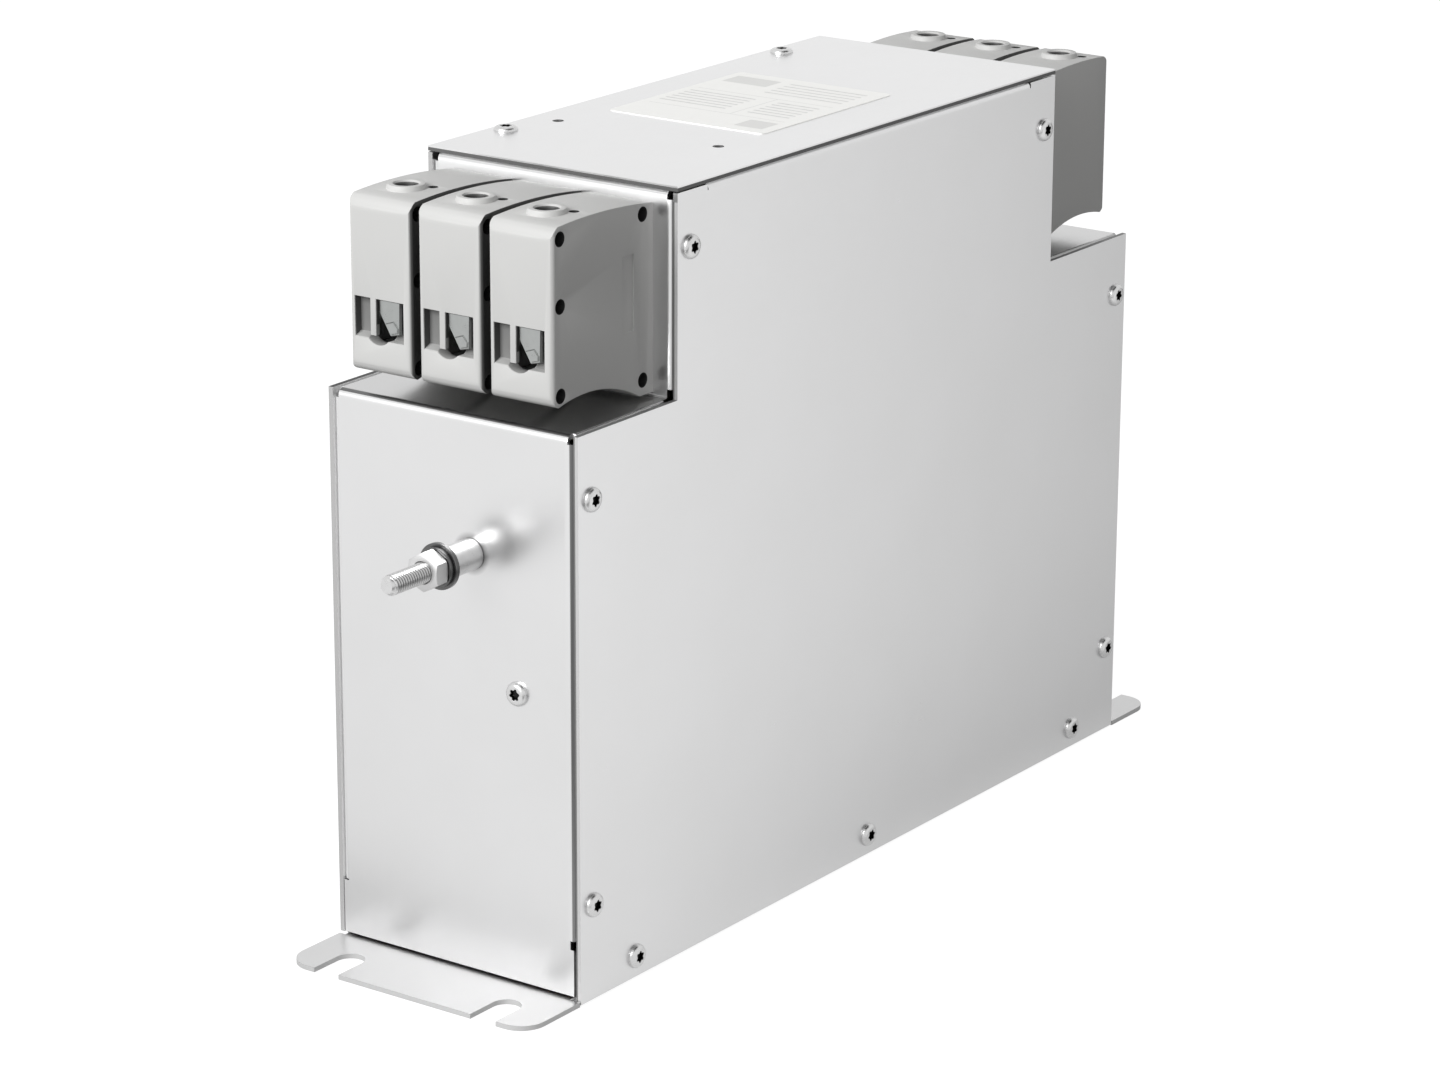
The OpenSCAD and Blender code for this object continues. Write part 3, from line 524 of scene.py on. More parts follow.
# %% Build the tree that sets screws
def set_of_copies():
    """A tree that stands copies of an object on points along their out attribute."""
    tree = bpy.data.node_groups.new("set_screws", "GeometryNodeTree")
    ports = {}
    for name, kind in (("Places", "Geometry"), ("Screw", "Object"), ("Spin seed", "Int"),
                       ("Most spin", "Float"), ("Head height", "Float"), ("Finish", "Material")):
        port = tree.interface.new_socket(name, in_out="INPUT", socket_type="NodeSocket" + kind)
        ports[name] = port.identifier
    tree.interface.new_socket("Screws", in_out="OUTPUT", socket_type="NodeSocketGeometry")

    def add(kind, settings=None, **links):
        node = tree.nodes.new(kind)
        for key, value in (settings or {}).items():
            setattr(node, key, value)
        for key, source in links.items():
            socket = [s for s in node.inputs if s.name == key.replace("_", " ") and s.enabled][0]
            if isinstance(source, bpy.types.NodeSocket):
                tree.links.new(source, socket)
            else:
                socket.default_value = source
        return node

    given = add("NodeGroupInput").outputs
    out = add("GeometryNodeInputNamedAttribute", {"data_type": "FLOAT_VECTOR"}, Name="out")
    stand = add("FunctionNodeAlignRotationToVector", {"axis": "Z"}, Vector=out.outputs[0])
    points = add("GeometryNodeMeshToPoints", Mesh=given["Places"])
    model = add("GeometryNodeObjectInfo", Object=given["Screw"])
    size = add("ShaderNodeCombineXYZ", X=1.0, Y=1.0, Z=given["Head height"])
    copies = add("GeometryNodeInstanceOnPoints", Points=points.outputs[0], Scale=size.outputs[0],
                 Instance=model.outputs["Geometry"], Rotation=stand.outputs[0])
    spin = add("FunctionNodeRandomValue", {"data_type": "FLOAT"}, Max=given["Most spin"],
               Seed=given["Spin seed"])
    amount = [s for s in spin.outputs if s.enabled][0]
    turn = add("ShaderNodeCombineXYZ", Z=amount)
    turned = add("GeometryNodeRotateInstances", Instances=copies.outputs[0],
                 Rotation=turn.outputs[0])
    solid = add("GeometryNodeRealizeInstances", Geometry=turned.outputs[0])
    coated = add("GeometryNodeSetMaterial", Geometry=solid.outputs[0], Material=given["Finish"])
    result = add("NodeGroupOutput")
    tree.links.new(coated.outputs[0], result.inputs[0])
    return tree, ports


screw_tree, screw_ports = set_of_copies()
print("screw tree inputs:", list(screw_ports))

# %% Find the places and set the screws
def solids(node):
    """Lowest and highest corner of every separate solid of a model piece, in millimetres."""
    mesh = bmesh.new()
    mesh.from_mesh(nodes[node].data)
    bmesh.ops.remove_doubles(mesh, verts=mesh.verts, dist=1e-6)
    mesh.verts.ensure_lookup_table()
    seen, boxes = set(), []
    for start in mesh.verts:
        if start.index in seen:
            continue
        seen.add(start.index)
        group, queue = [], [start]
        while queue:
            vertex = queue.pop()
            group.append(vertex.co / MM)
            for edge in vertex.link_edges:
                other = edge.other_vert(vertex)
                if other.index not in seen:
                    seen.add(other.index)
                    queue.append(other)
        boxes.append((Vector(map(min, zip(*group))), Vector(map(max, zip(*group)))))
    mesh.free()
    return boxes


def screw_places(node, axis):
    """Seats of a node's screws, and the outward direction along the given axis."""
    places = []
    for low, high in solids(node):
        middle = (low + high) / 2
        side = 1 if middle[axis] > 0 else -1
        face = high[axis] - HEAD_H if side > 0 else low[axis] + HEAD_H
        out = Vector((0, 0, 0))
        out[axis] = side
        seat = middle.copy()
        seat[axis] = face
        places.append((seat, out))
    return places


def set_screws(name, node, axis, seed, head_height=0.72):
    """A screw at each solid of a model piece, its head lowered by the given factor."""
    places = screw_places(node, axis)
    data = bpy.data.meshes.new(name + "_places")
    data.from_pydata([seat * MM for seat, _ in places], [], [])
    outward = data.attributes.new("out", "FLOAT_VECTOR", "POINT")
    for entry, (_, out) in zip(outward.data, places):
        entry.vector = out
    holder = bpy.data.objects.new(name + "_places", data)
    bpy.context.scene.collection.objects.link(holder)
    modifier = holder.modifiers.new("set", "NODES")
    modifier.node_group = screw_tree
    modifier[screw_ports["Screw"]] = screw_pattern
    modifier[screw_ports["Spin seed"]] = seed
    modifier[screw_ports["Most spin"]] = math.radians(60)
    modifier[screw_ports["Head height"]] = head_height
    modifier[screw_ports["Finish"]] = plated.material
    graph = bpy.context.evaluated_depsgraph_get()
    made = bpy.data.meshes.new_from_object(holder.evaluated_get(graph))
    bpy.data.objects.remove(holder)
    shape = piece(name, made, plated)
    settle(shape, node)
    return shape


set_screws("side_screws", "cover_screws", axis=0, seed=3)
set_screws("top_screws", "lid_screws", axis=2, seed=5, head_height=0.6)
set_screws("end_screws", "panel_screws", axis=1, seed=8)
bpy.data.objects.remove(screw_pattern)
screw_nodes = ("cover_screws", "lid_screws", "panel_screws")
print("screws set:", sum(len(solids(node)) for node in screw_nodes))

# %% [markdown]
# ## Earth studs
#
# Each end carries a welded-looking stud that is really a screw through the panel. From the
# panel outwards come a sleeve, a flat washer, a spring washer and a nut, and then the free
# thread with its pointed tip. A thread is a groove that climbs one pitch in every turn, so
# its depth depends on height and angle together: the outline is the same at every angle,
# only shifted. That one rule makes the whole grid of points.

# %% Measure the studs and their stacks
ENDS = (-1, 1)
HALF_LENGTH = abs(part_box("side_cover")[0].y) / MM


def stack(node):
    """Distances before the end panel at which a stud piece starts and ends, and its height."""
    low, high = [box for box in solids(node) if box[0].y < 0][0]
    return -HALF_LENGTH - high.y, -HALF_LENGTH - low.y, high.z - low.z


def stud_place(end):
    """Moves a piece made along +Z to a stud, standing out of its end panel."""
    low, high = [box for box in solids("earth_spacers") if (box[0].y > 0) == (end > 0)][0]
    foot = Vector(((low.x + high.x) / 2, end * HALF_LENGTH, (low.z + high.z) / 2)) * MM
    return Matrix.Translation(foot) @ Matrix.Rotation(end * math.radians(-90), 4, "X")


_, SLEEVE_END, SLEEVE_D = stack("earth_spacers")
_, WASHER_END, WASHER_D = stack("earth_washers")
_, SPRING_END, SPRING_D = stack("earth_lock_washers")
_, NUT_END, NUT_AF = stack("earth_nuts")
HEAD_START, STUD_END, _ = stack("earth_studs")
print(f"sleeve to {SLEEVE_END:.1f} mm, washers to {SPRING_END:.1f}, nut to {NUT_END:.1f}")


# %% Make the threaded studs
STUD_D, THREAD_PITCH, THREAD_DEPTH = 6.0, 1.0, 0.5
STUD_STEPS, RINGS_PER_TURN, TIP_L = 48, 8, 1.8
NECK_R = STUD_D / 2 - 0.1


def both_ends(name, build, finish, *stands_for):
    """Makes a piece at each stud and joins the two into one object."""
    mesh = bmesh.new()
    for end in ENDS:
        data = build()
        data.transform(stud_place(end))
        mesh.from_mesh(data)
        bpy.data.meshes.remove(data)
    joined = bpy.data.meshes.new(name)
    mesh.to_mesh(joined)
    mesh.free()
    shape = piece(name, joined, finish)
    settle(shape, *stands_for)
    return shape


def across_flats(angle):
    """Radius of a hexagon from its flats to its corners."""
    return NUT_AF / 2 / math.cos((angle + math.pi / 6) % (math.pi / 3) - math.pi / 6)


def corner_rise(angle):
    """How far the chamfer has climbed where it meets the hexagon's side."""
    return (across_flats(angle) - NUT_AF / 2 * 0.96) * math.tan(math.radians(30))


def thread_radius(height, angle):
    """A groove with flat crests and roots that climbs one pitch in every turn."""
    phase = (height / THREAD_PITCH - angle / (2 * math.pi)) % 1
    groove = min(max((abs(2 * phase - 1) - 0.1) / 0.75, 0), 1)
    tip = max(0, height - (STUD_END - TIP_L)) / TIP_L
    return min(STUD_D / 2 - THREAD_DEPTH * groove, STUD_D / 2 - 1.0 * tip ** 1.5)


def stud_data():
    rings = [(0, HEAD_START), (NUT_AF / 2 * 0.96, HEAD_START)]
    rings += [(across_flats, lambda angle: HEAD_START + corner_rise(angle))]
    rings += [(across_flats, -SHEET), (NECK_R, -SHEET)]
    count = round((STUD_END - SLEEVE_END) / THREAD_PITCH * RINGS_PER_TURN)
    for step in range(count + 1):
        height = SLEEVE_END + (STUD_END - SLEEVE_END) * step / count
        rings.append((lambda angle, h=height: thread_radius(h, angle), height))
    return ring_mesh("stud", rings + [(0, STUD_END)], STUD_STEPS, recess=lambda ring, radius: min(
        0.75, (STUD_D / 2 - radius) / THREAD_DEPTH) if 5 < ring < len(rings) - 14 else 0)


both_ends("earth_stud_screws", stud_data, plated, "earth_studs")

# %% Make the sleeve, the washers and the nut
def tube_data(outer, inner, start, end, chamfer):
    rings = [(inner, start), (outer - chamfer, start), (outer, start + chamfer)]
    rings += [(outer, end - chamfer), (outer - chamfer, end), (inner + chamfer, end)]
    rings += [(inner, end - chamfer)]
    return ring_mesh("tube", rings, STUD_STEPS, closed=True)


def nut_data():
    bore, flare, low, high = STUD_D / 2 + 0.03, STUD_D / 2 + 0.35, SPRING_END, NUT_END
    rings = [(flare, low), (NUT_AF / 2 * 0.96, low)]
    rings += [(across_flats, lambda angle: low + corner_rise(angle))]
    rings += [(across_flats, lambda angle: high - corner_rise(angle))]
    rings += [(NUT_AF / 2 * 0.96, high), (flare, high), (bore, high - 0.35), (bore, low + 0.35)]
    return ring_mesh("nut", rings, 72, closed=True)


def spring_washer_data(gap=math.radians(10), lift=0.12, steps=44):
    """A bent bar of almost a full turn, whose two ends part by a little lift."""
    inner, outer = STUD_D / 2 + 0.2, SPRING_D / 2
    low, high, soft = WASHER_END, SPRING_END - lift, 0.15
    outline = [(inner + soft, low), (outer - soft, low), (outer, low + soft)]
    outline += [(outer, high - soft), (outer - soft, high), (inner + soft, high)]
    outline += [(inner, high - soft), (inner, low + soft)]
    mesh = bmesh.new()
    rows = []
    for step in range(steps + 1):
        part = step / steps
        angle = math.radians(200) + gap / 2 + (2 * math.pi - gap) * part
        rows.append([
            mesh.verts.new(Vector((r * math.cos(angle), r * math.sin(angle), z + lift * part)) * MM)
            for r, z in outline
        ])
    for low_row, high_row in zip(rows, rows[1:]):
        for i in range(len(outline)):
            j = (i + 1) % len(outline)
            mesh.faces.new((low_row[i], low_row[j], high_row[j], high_row[i]))
    mesh.faces.new(rows[0])
    mesh.faces.new(rows[-1][::-1])
    bmesh.ops.recalc_face_normals(mesh, faces=mesh.faces)
    data = bpy.data.meshes.new("spring_washer")
    mesh.to_mesh(data)
    mesh.free()
    return data


sleeve_metal = plated_finish("sleeve_plating", 0.66, 0.30)
# Painted shade: the studs' washers are painted dark, standing in for the shade in the narrow gaps
# between sleeve and nut.
washer_shade_metal = plated_finish("washer_painted_shade", 0.14, 0.24)
nut_metal = plated_finish("nut_plating", 0.62, 0.44)
both_ends("earth_sleeves", lambda: tube_data(SLEEVE_D / 2, STUD_D / 2 + 0.2, 0, SLEEVE_END, 0.35),
          sleeve_metal, "earth_spacers")
both_ends("earth_flat_washers",
          lambda: tube_data(WASHER_D / 2, STUD_D / 2 + 0.2, SLEEVE_END, WASHER_END, 0.2),
          washer_shade_metal, "earth_washers")
both_ends("earth_spring_washers", spring_washer_data, washer_shade_metal, "earth_lock_washers")
both_ends("earth_hex_nuts", nut_data, nut_metal, "earth_nuts")

# %% [markdown]
# ## Terminal blocks
#
# The blocks are light grey polyamide, moulded in a tool whose surface was roughened by
# sparks. A moulding has no sharp outer edge, because molten plastic can't fill one. The
# model's blocks have the right walls, windows and bores, so each is copied, its coplanar
# triangles are merged, and a Bevel modifier rounds every edge sharper than a few tens of
# degrees by a third of a millimetre. The facets of the round bores stay as they are.
#
# Deep in a hole, a pocket or the gap between two blocks the plastic gets hardly any light,
# but the render alone leaves such places too pale. So one function sets how bright the
# plastic is, from its place within its own block. It is a choice for the look, and not a
# finish that the plastic has.

# %% Make the moulded finish and soften the blocks
BLOCK_W, BLOCK_PITCH, PORT_X, PORT_Z, PORT_D, CLAMP_DEPTH = 21.8, 24.6, -0.8, 19.6, 9.6, 13.4
PIN_HOLES = ((3.6, 53.3), (3.6, 34.5), (3.6, 9.4), (41.2, 53.0), (41.2, 5.6))
PIN_HOLE_D, DRIVER_HOLE_D, TEST_HOLE_D = 4.2, 7.1, 3.0
TEST_SIDE, TEST_BACK = 5.7, 4.6
WINDOW_LEFT, WINDOW_RIGHT, WINDOW_LOW, WINDOW_HIGH, WINDOW_DEPTH = -9.3, 8.4, 14.6, 28.2, 12
COLLAR_TOP, DRIVER_HOLE_LOW, TEST_HOLE_LOW = 60.6, 40, 45
PORT_DEPTH_LIT, HOLE_LEVEL, GAP_SHADE = 4.4, 0.012, 0.87


def within(across, along, radius):
    """1 closer to an axis than the radius."""
    return (across * across + along * along) < radius * radius


def moulding_level(finish, level):
    """How bright the plastic is painted: the given level outside, painted shade in pockets and
    underneath, most in holes and gaps.
    """
    place, facing = finish.parts(finish.place), finish.parts(finish.facing)
    turn = (place[1] < 0) * 2 - 1
    right, depth, height = place[0] * turn, abs(place[1]) * -1 + HALF_LENGTH, place[2] - LEDGE
    inner = ((right / BLOCK_PITCH + 0.5).fraction() - 0.5) * BLOCK_PITCH
    wall, floor, ceiling = facing[0] * turn > 0.5, facing[2] > 0.3, facing[2] < -0.5
    window = (inner > WINDOW_LEFT) * (inner < WINDOW_RIGHT)
    window = window * (height > WINDOW_LOW) * (height < WINDOW_HIGH)
    window = window * (depth > 0.4) * (depth < WINDOW_DEPTH)
    # Painted light and shade in the windows: floors lighter than the back, walls and ceilings near
    # black.
    pocket = floor * 0.2 - wall * 0.15 - ceiling * 0.14 + 0.21
    port = within(inner - PORT_X, height - PORT_Z, PORT_D / 2 + 0.15)
    port = port * (height < PORT_Z + 1) * window
    scoop = (depth - PORT_DEPTH_LIT).clamp() * -0.38 + 0.40
    gap = (abs(right) < BLOCK_PITCH + BLOCK_W / 2 - 1) * ((abs(facing[0]) - 0.2) / 0.2).clamp()
    dark = gap * (abs(inner) > BLOCK_W / 2 - 0.7) * ((depth - 0.2) / 0.5).clamp() * GAP_SHADE
    # Painted shade under the blocks, near their feet.
    below = (facing[2] * -1 - 0.6) / 0.3
    dark = dark.either(below.clamp() * (height < 9) * 0.1)
    for hole_depth, hole_height in PIN_HOLES:
        hole = within(depth - hole_depth, height - hole_height, PIN_HOLE_D / 2 + 0.08)
        dark = dark.either(hole * (inner > 7.0))
    aside, behind = inner - PORT_X, depth - CLAMP_DEPTH
    driver = within(aside, behind, DRIVER_HOLE_D / 2) * (height > DRIVER_HOLE_LOW)
    driver = driver * ((height * -1 + COLLAR_TOP) / 3).clamp() * 0.97
    test = within(aside - turn * TEST_SIDE, behind - turn * TEST_BACK, TEST_HOLE_D / 2)
    dark = dark.either(driver).either(test * (height > TEST_HOLE_LOW))
    shown = level + window * (pocket - level)
    shown = shown + port * (scoop - shown)
    return shown * (1 - dark) + dark * HOLE_LEVEL


def moulded_finish(name, level, gloss, tint=(1, 1, 1), texture=0.35):
    finish = Finish(name)
    flow, spark = finish.noise(16, detail=2), finish.noise(texture, detail=3)
    shown = moulding_level(finish, flow * (level * 0.03) + level * 0.985)
    shade = finish.mix(shown, grey(0), grey(1, tint))
    finish.set(Base_Color=shade, Roughness=spark * 0.12 + flow * 0.06 + (gloss - 0.09))
    return finish.bump(spark, 0.02)


def softened(name, node, finish, width, slot):
    """A copy of a model piece with rounded edges, which stands for it."""
    mesh = bmesh.new()
    mesh.from_mesh(nodes[node].data)
    bmesh.ops.remove_doubles(mesh, verts=mesh.verts, dist=1e-6)
    bmesh.ops.dissolve_limit(
        mesh, angle_limit=math.radians(0.3), verts=mesh.verts, edges=mesh.edges)
    data = bpy.data.meshes.new(name)
    mesh.to_mesh(data)
    mesh.free()
    source = bpy.data.objects.new(name + "_source", data)
    bpy.context.scene.collection.objects.link(source)
    bevel = source.modifiers.new("edge", "BEVEL")
    bevel.width, bevel.segments = width * MM, 2
    bevel.limit_method, bevel.angle_limit = "ANGLE", math.radians(35)
    graph = bpy.context.evaluated_depsgraph_get()
    rounded = bpy.data.meshes.new_from_object(source.evaluated_get(graph))
    bpy.data.objects.remove(source)
    shape = piece(name, rounded, finish, smooth=math.radians(40))
    settle(shape, node, slot=slot)
    return shape


moulding = moulded_finish("terminal_moulding", 0.60, 0.55, tint=(1, 1, 0.985))
for end in ("line", "load"):
    for phase in (1, 2, 3):
        name, node = f"{end}_terminal_{phase}", f"{end}_block_{phase}"
        softened(name, node, moulding, width=0.3, slot="terminal_moulding")

# %% [markdown]
# ## Clamps and bars
#
# Behind each wire port a steel saddle waits, pressed down by the screw under the collar. Its
# underside is a ridge that bites into the wire. In front the saddle carries a cover plate,
# cut off at a slant, that fills the open window down to the wire, with a small tooth below.
# Each outline below is given across and up in a block, and is pushed inwards between two
# depths with a softened front edge. The ridge behind comes from the model's own saddle.

# %% Build the saddles with their cover plates
JAW_PLATE = ((-1.25, 27.8), (-1.25, 24.1), (2.7, 17.7), (5.9, 18.5), (6.1, 27.8))
JAW_TOOTH = ((1.1, 21.2), (3.9, 22.2), (5.6, 20.3), (5.5, 18.9), (3.2, 18.3))
JAW_NECK = ((-1.1, 27.6), (-1.1, 24.4), (1.4, 20.6), (4.3, 20.6), (4.3, 27.6))
TOOTH_START, PLATE_START, PLATE_END, RIDGE_START = 0.7, 1.1, 2.1, 10.0


def push_in(mesh, outline, start, end, soft, place):
    """A solid with the given outline from one depth to another, its front edge softened."""
    middle = Vector((sum(x for x, _ in outline), sum(z for _, z in outline))) / len(outline)
    rows = []
    for depth, inset in ((start, soft), (start + soft, 0), (end, 0)):
        row = []
        for x, z in outline:
            out = Vector((x, z)) - middle
            x, z = middle + out * (1 - inset / out.length)
            row.append(mesh.verts.new(place @ (Vector((x, depth, z)) * MM)))
        rows.append(row)
    faces = [mesh.faces.new(rows[0]), mesh.faces.new(rows[-1][::-1])]
    for near, far in zip(rows, rows[1:]):
        for i in range(len(outline)):
            j = (i + 1) % len(outline)
            faces.append(mesh.faces.new((near[i], far[i], far[j], near[j])))
    bmesh.ops.recalc_face_normals(mesh, faces=faces)


def jaws(end):
    """All saddles of one end: the model's ridges set back, plates, teeth and necks."""
    mesh = bmesh.new()
    mesh.from_mesh(nodes[end + "_saddles"].data)
    for vertex in mesh.verts:
        if HALF_LENGTH - abs(vertex.co.y / MM) < RIDGE_START:
            vertex.co.y = math.copysign((HALF_LENGTH - RIDGE_START) * MM, vertex.co.y)
    half_turn = Matrix.Rotation(0 if end == "line" else math.pi, 4, "Z")
    for phase in (-1, 0, 1):
        corner = Vector((phase * BLOCK_PITCH, -HALF_LENGTH, LEDGE)) * MM
        place = half_turn @ Matrix.Translation(corner)
        push_in(mesh, JAW_PLATE, PLATE_START, PLATE_END, 0.25, place)
        push_in(mesh, JAW_TOOTH, TOOTH_START, PLATE_START, 0.3, place)
        push_in(mesh, JAW_NECK, PLATE_END, RIDGE_START, 0.1, place)
    data = bpy.data.meshes.new(end + "_jaws")
    mesh.to_mesh(data)
    mesh.free()
    shape = piece(end + "_clamp_jaws", data, clamp_steel, smooth=math.radians(20))
    settle(shape, end + "_saddles")


clamp_steel = plated_finish("clamp_steel", 0.40, 0.30, tint=(0.97, 1, 0.985))
for end in ("line", "load"):
    jaws(end)

# %% Finish the clamps
for node in nodes:
    if "_frame_" in node:
        wear(node, clamp_steel)
tinned = plated_finish("tinned_bar", 0.66, 0.3)
for node in nodes:
    if "_bar_" in node:
        wear(node, tinned)
for node in ("line_clamp_screws", "load_clamp_screws"):
    wear(node, plated)
print("clamp finishes on", sum("_frame_" in n or "_bar_" in n for n in nodes), "frames and bars")

# %% [markdown]
# ## Rating label
#
# A printed film is stuck to the lid. A thin sheet still needs a true shape: an outline with
# rounded corners, a wall, and a flat face. The print is kept to plain fields, rules and bars,
# drawn by masks in the label's own coordinates. A box mask is 1 inside a rectangle and 0
# outside it, and masks add up to a layout.

# %% Cut the label
def label_data(low, high, corner, steps=6):
    """A flat film with rounded corners, from its lowest to its highest corner in millimetres."""
    outline = []
    for turn, (right, back) in enumerate(((1, 1), (-1, 1), (-1, -1), (1, -1))):
        x, y = (high.x if right > 0 else low.x), (high.y if back > 0 else low.y)
        centre = Vector((x - corner * right, y - corner * back))
        for step in range(steps + 1):
            angle = math.pi / 2 * (turn + step / steps)
            outline.append(centre + corner * Vector((math.cos(angle), math.sin(angle))))
    mesh = bmesh.new()
    rows = [[mesh.verts.new(Vector((p.x, p.y, z)) * MM) for p in outline] for z in (low.z, high.z)]
    mesh.faces.new(rows[0][::-1])
    mesh.faces.new(rows[1])
    for i in range(len(outline)):
        j = (i + 1) % len(outline)
        mesh.faces.new((rows[0][i], rows[0][j], rows[1][j], rows[1][i]))
    data = bpy.data.meshes.new("label")
    mesh.to_mesh(data)
    mesh.free()
    return data


label_low, label_high = (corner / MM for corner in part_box("rating_label"))
LABEL_MIDDLE = (label_low + label_high) / 2
print("label, in mm:", [round(v, 1) for v in label_high - label_low])

# %% Print the label and stick it on
def label_finish():
    finish = Finish("label_film")
    x, y, _ = finish.parts(finish.place)
    x, y = x - LABEL_MIDDLE.x, y - LABEL_MIDDLE.y

    def box(left, right, low, high):
        return (x > left) * (x < right) * (y > low) * (y < high)

    def bars(left, right, low, high, pitch, share=0.35):
        return box(left, right, low, high) * ((y / pitch).fraction() < share)

    fine = finish.noise(3.0, detail=3)
    rules = box(-25, 24, 7.6, 8.0).either(box(-25, 24, -17.4, -17.0)).either(box(4, 4.4, -17, 8))
    fields = box(-25, -9, 20, 29).either(box(14, 24, -29, -20))
    lines = bars(-25, -1, -14, 5, 3.1).either(bars(7, 22, -14, 5, 3.1))
    lines = lines.either(bars(-5, 23, 12, 29, 3.4, 0.3))
    base = finish.mix(fine, grey(0.90, (1, 1, 0.975)), grey(0.94, (1, 1, 0.98)))
    printed = finish.mix(fields * 0.3, base, grey(0.32))
    printed = finish.mix((lines * (fine * 0.4 + 0.15)).clamp(), printed, grey(0.30))
    printed = finish.mix(rules * 0.3, printed, grey(0.35))
    finish.set(Base_Color=printed, Metallic=0.6, Roughness=fine * 0.1 + 0.38)
    return finish.bump(fine, 0.006)


label = piece("printed_label", label_data(label_low, label_high, corner=2.0), label_finish())
settle(label, "rating_label", slot="label_film")

# %% [markdown]
# ## What the covers hide
#
# Inside are the chokes, capacitors and the discharge board. The covers hide them, but the
# pieces are there when the model is opened, so each gets its real finish in a few lines. A
# winding shows its turns as ripples that run round the core, one for every wire.

# %% Finish the inside
def plain_finish(name, level, tint, gloss, size=6.0, depth=0.02, metal=0.0):
    finish = Finish(name)
    cloud, grain = finish.noise(size, detail=2), finish.noise(size / 12, detail=2)
    shade = finish.mix(cloud, grey(level * 0.92, tint), grey(level * 1.06, tint))
    finish.set(Base_Color=shade, Roughness=grain * 0.12 + (gloss - 0.06), Metallic=metal)
    return finish.bump(grain, depth)


def winding_finish(core):
    low, high = (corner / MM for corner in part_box(core))
    middle = (low + high) / 2
    finish = Finish(core + "_winding")
    _, y, z = finish.parts(finish.place)
    angle = (z - middle.z).angle(y - middle.y)
    turns = (angle * (120 / math.pi)).sine() * 0.5 + 0.5
    shade = finish.mix(turns, (0.30, 0.11, 0.04, 1), (0.74, 0.36, 0.17, 1))
    finish.set(Base_Color=shade, Metallic=0.7, Roughness=turns * -0.1 + 0.4)
    return finish.bump(turns, 0.6)


inside = {
    "insulating_sheet": plain_finish("insulating_film", 0.72, (1, 0.97, 0.86), 0.4),
    "choke_cradles": plain_finish("cradle_moulding", 0.05, (1, 1, 1), 0.5),
    "choke_core": plain_finish("core_coating", 0.16, (0.6, 0.85, 1.3), 0.45),
    "capacitor": plain_finish("capacitor_case", 0.62, (1, 0.86, 0.22), 0.42),
    "discharge_board": plain_finish("board_lacquer", 0.16, (0.3, 1, 0.45), 0.35),
    "discharge_resistors": plain_finish("resistor_lacquer", 0.5, (0.75, 0.9, 1), 0.4),
}
for end in ("line", "load"):
    winding = winding_finish(end + "_choke_core")
    for phase in (1, 2, 3):
        wear(f"{end}_coil_{phase}", winding)
for node in nodes:
    for word, finish in inside.items():
        if word in node:
            wear(node, finish)
print("inside finishes:", len(inside) + 2)

# %% [markdown]
# ## Stage and light
#
# A catalogue picture shows the part on white with even light. A lamp that is turned up until
# the floor is white would bleach the part too, so the floor gets most of its white from its
# own glow, and only in the camera's eye and in reflections. The rest is true light on it,
# which the part's shadow takes away. Sheet metal shows what stands around it, so the glow in
# reflections fades a little towards the right, as it does beside a one-sided studio light,
# and it drops beside the housing and at the foot of the end panel: a painted shadow of the
# housing, seen only in reflections. Metal in an all-white room looks like paper, so there
# are two dark cards: one is a dark patch painted into the floor's glow in front of the part,
# and one hangs high up on its right. Only reflections see them, and only bent and rounded
# metal catches them, as thin dark bands and crescents.

# %% Lay the floor
FLOOR_SIZE = 8.0
floor_finish = Finish("white_floor")
rays = [floor_finish.add("ShaderNodeLightPath", {}, output=name)
        for name in ("Is Camera Ray", "Is Transmission Ray", "Is Glossy Ray")]
across, along, _ = floor_finish.parts(floor_finish.place)

# How much less the floor glows towards the right, and beside the housing as its painted shadow
near = ((across * -1 + 150) / 90).clamp() * 0.09
shade = (along * 0.0009 - across * 0.0016 + near + 0.388).clamp()
beside = ((along + 180) / 180).clamp() * (across / 60).clamp()

# A dark patch painted into the floor's glow in front, standing in for a card, and a painted shadow
# in the glow right at the foot of the end panel
card = ((along + 560) / 60).clamp() * ((along + 210) / -60).clamp() * ((across - 70) / 60).clamp()
foot = ((along + 205) / 30).clamp() * ((along + 150) / -15).clamp()
foot = foot * ((across - 40) / -110).clamp()
glow = beside * (shade * -1.0 + 0.19) + 0.83
mirrored = rays[2] * glow * (1 - card * 0.85) * (1 - foot * 0.42)
floor_finish.set(
    Base_Color=grey(0.20), Roughness=1.0, Specular_IOR_Level=0.0,
    Emission_Color=(rays[0].either(rays[1]) * 0.94).either(mirrored), Emission_Strength=1.0,
)


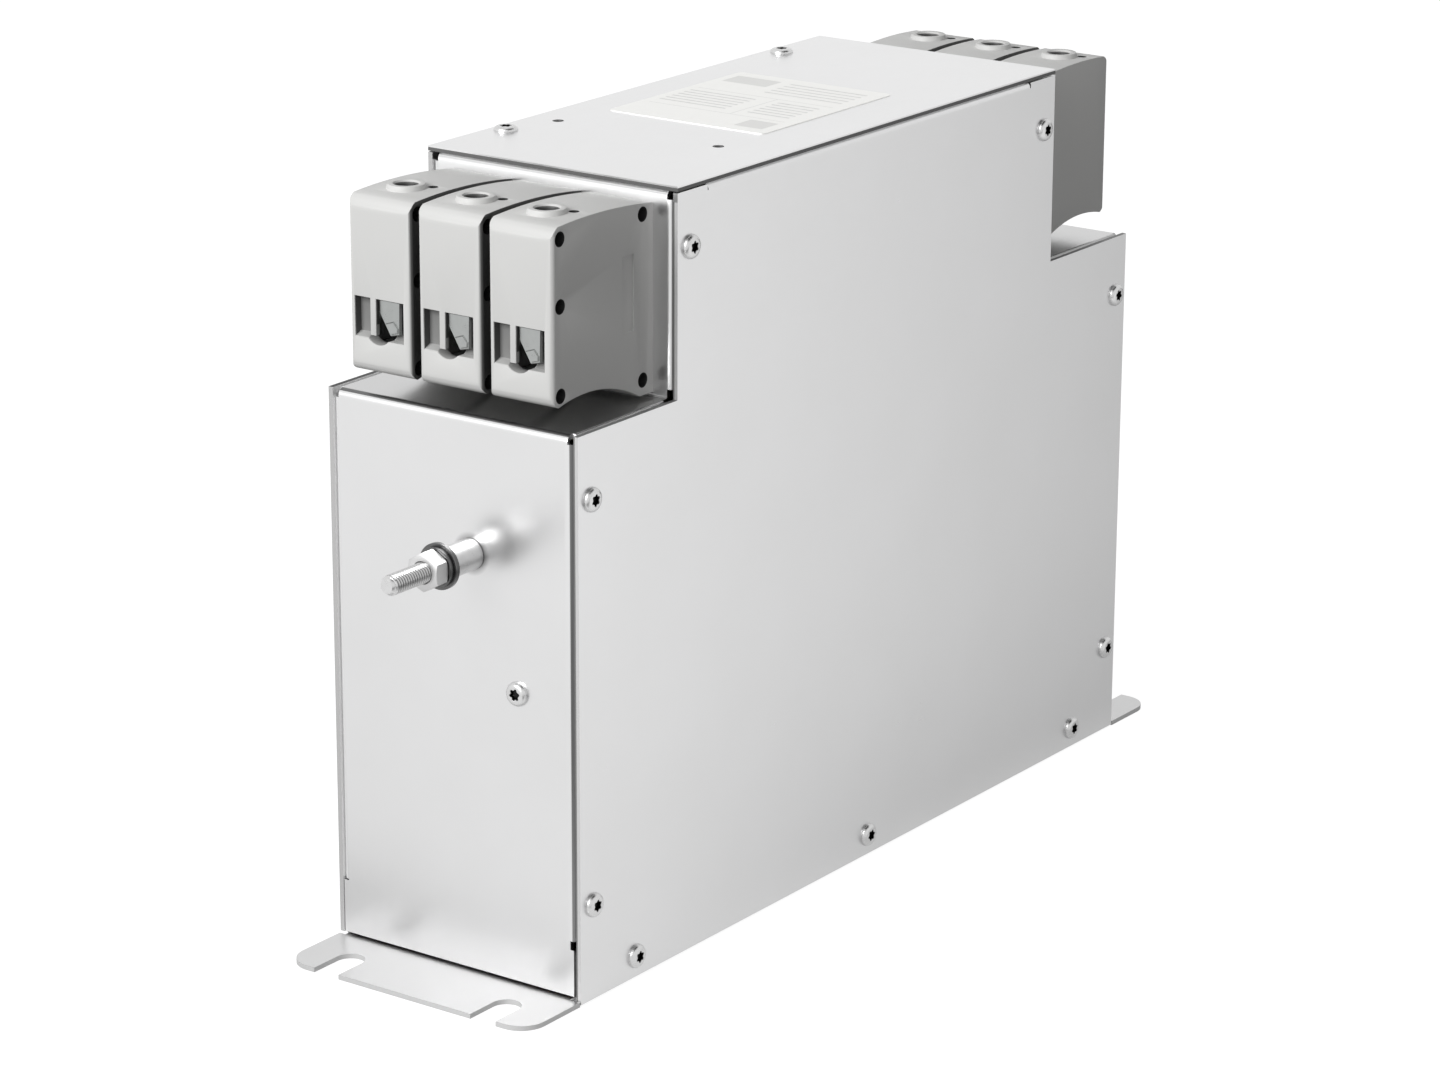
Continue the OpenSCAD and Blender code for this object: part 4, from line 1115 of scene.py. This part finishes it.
def stage_plate(name, low, high, height, finish):
    """A level rectangle of the stage, in metres."""
    data = bpy.data.meshes.new(name)
    corners = ((low[0], low[1]), (high[0], low[1]), (high[0], high[1]), (low[0], high[1]))
    data.from_pydata([(x, y, height) for x, y in corners], [], [(0, 1, 2, 3)])
    data.materials.append(finish.material)
    plate = bpy.data.objects.new(name, data)
    bpy.context.scene.collection.objects.link(plate)
    return plate


reach = FLOOR_SIZE / 2
stage_plate("floor", (-reach, -reach), (reach, reach), -0.0003, floor_finish)
print("floor:", FLOOR_SIZE, "m")

# %% Hang a dark card overhead
black_card = Finish("black_card").set(Base_Color=grey(0.02), Roughness=1.0)
card_overhead = stage_plate("card_overhead", (0.12, -0.55), (1.0, 0.6), 1.1, black_card)
for ray in ("camera", "diffuse", "transmission", "shadow"):
    setattr(card_overhead, "visible_" + ray, False)
print("card hung for reflections only")

# %% Put white around it
class Surroundings(Finish):
    """The same helpers on the nodes of the world."""

    def __init__(self, name):
        world = bpy.data.worlds.new(name)
        world.use_nodes = True
        bpy.context.scene.world = world
        self.tree = world.node_tree
        self.tree.nodes.clear()


sky = Surroundings("surroundings")
camera_ray, glass_ray, gloss_ray = (
    sky.add("ShaderNodeLightPath", {}, output=name)
    for name in ("Is Camera Ray", "Is Transmission Ray", "Is Glossy Ray"))
AMBIENT, WHITE = 0.36, 1.0
plain = sky.add("ShaderNodeBackground", {}, grey(1), AMBIENT)
white = sky.add("ShaderNodeBackground", {}, grey(1), WHITE)
bright = camera_ray.either(glass_ray).either(gloss_ray)
all_round = sky.add("ShaderNodeMixShader", {}, bright, plain, white)
sky.tree.links.new(all_round.socket, sky.tree.nodes.new("ShaderNodeOutputWorld").inputs[0])
print("surroundings ready")

# %% Hang the softboxes
def softbox(name, place, aim, size, power):
    """A square area lamp, in metres and watts, turned towards a point."""
    lamp = bpy.data.lights.new(name, "AREA")
    lamp.shape, lamp.size, lamp.energy = "SQUARE", size, power
    holder = bpy.data.objects.new(name, lamp)
    holder.location = place
    holder.rotation_euler = (Vector(aim) - Vector(place)).to_track_quat("-Z", "Y").to_euler()
    bpy.context.scene.collection.objects.link(holder)


softbox("key", (-0.35, -2.2, 1.4), (0, 0, 0.1), 1.2, 59)
bpy.context.scene.view_settings.view_transform = "Standard"
print("lamps:", [lamp.name for lamp in bpy.data.lights])
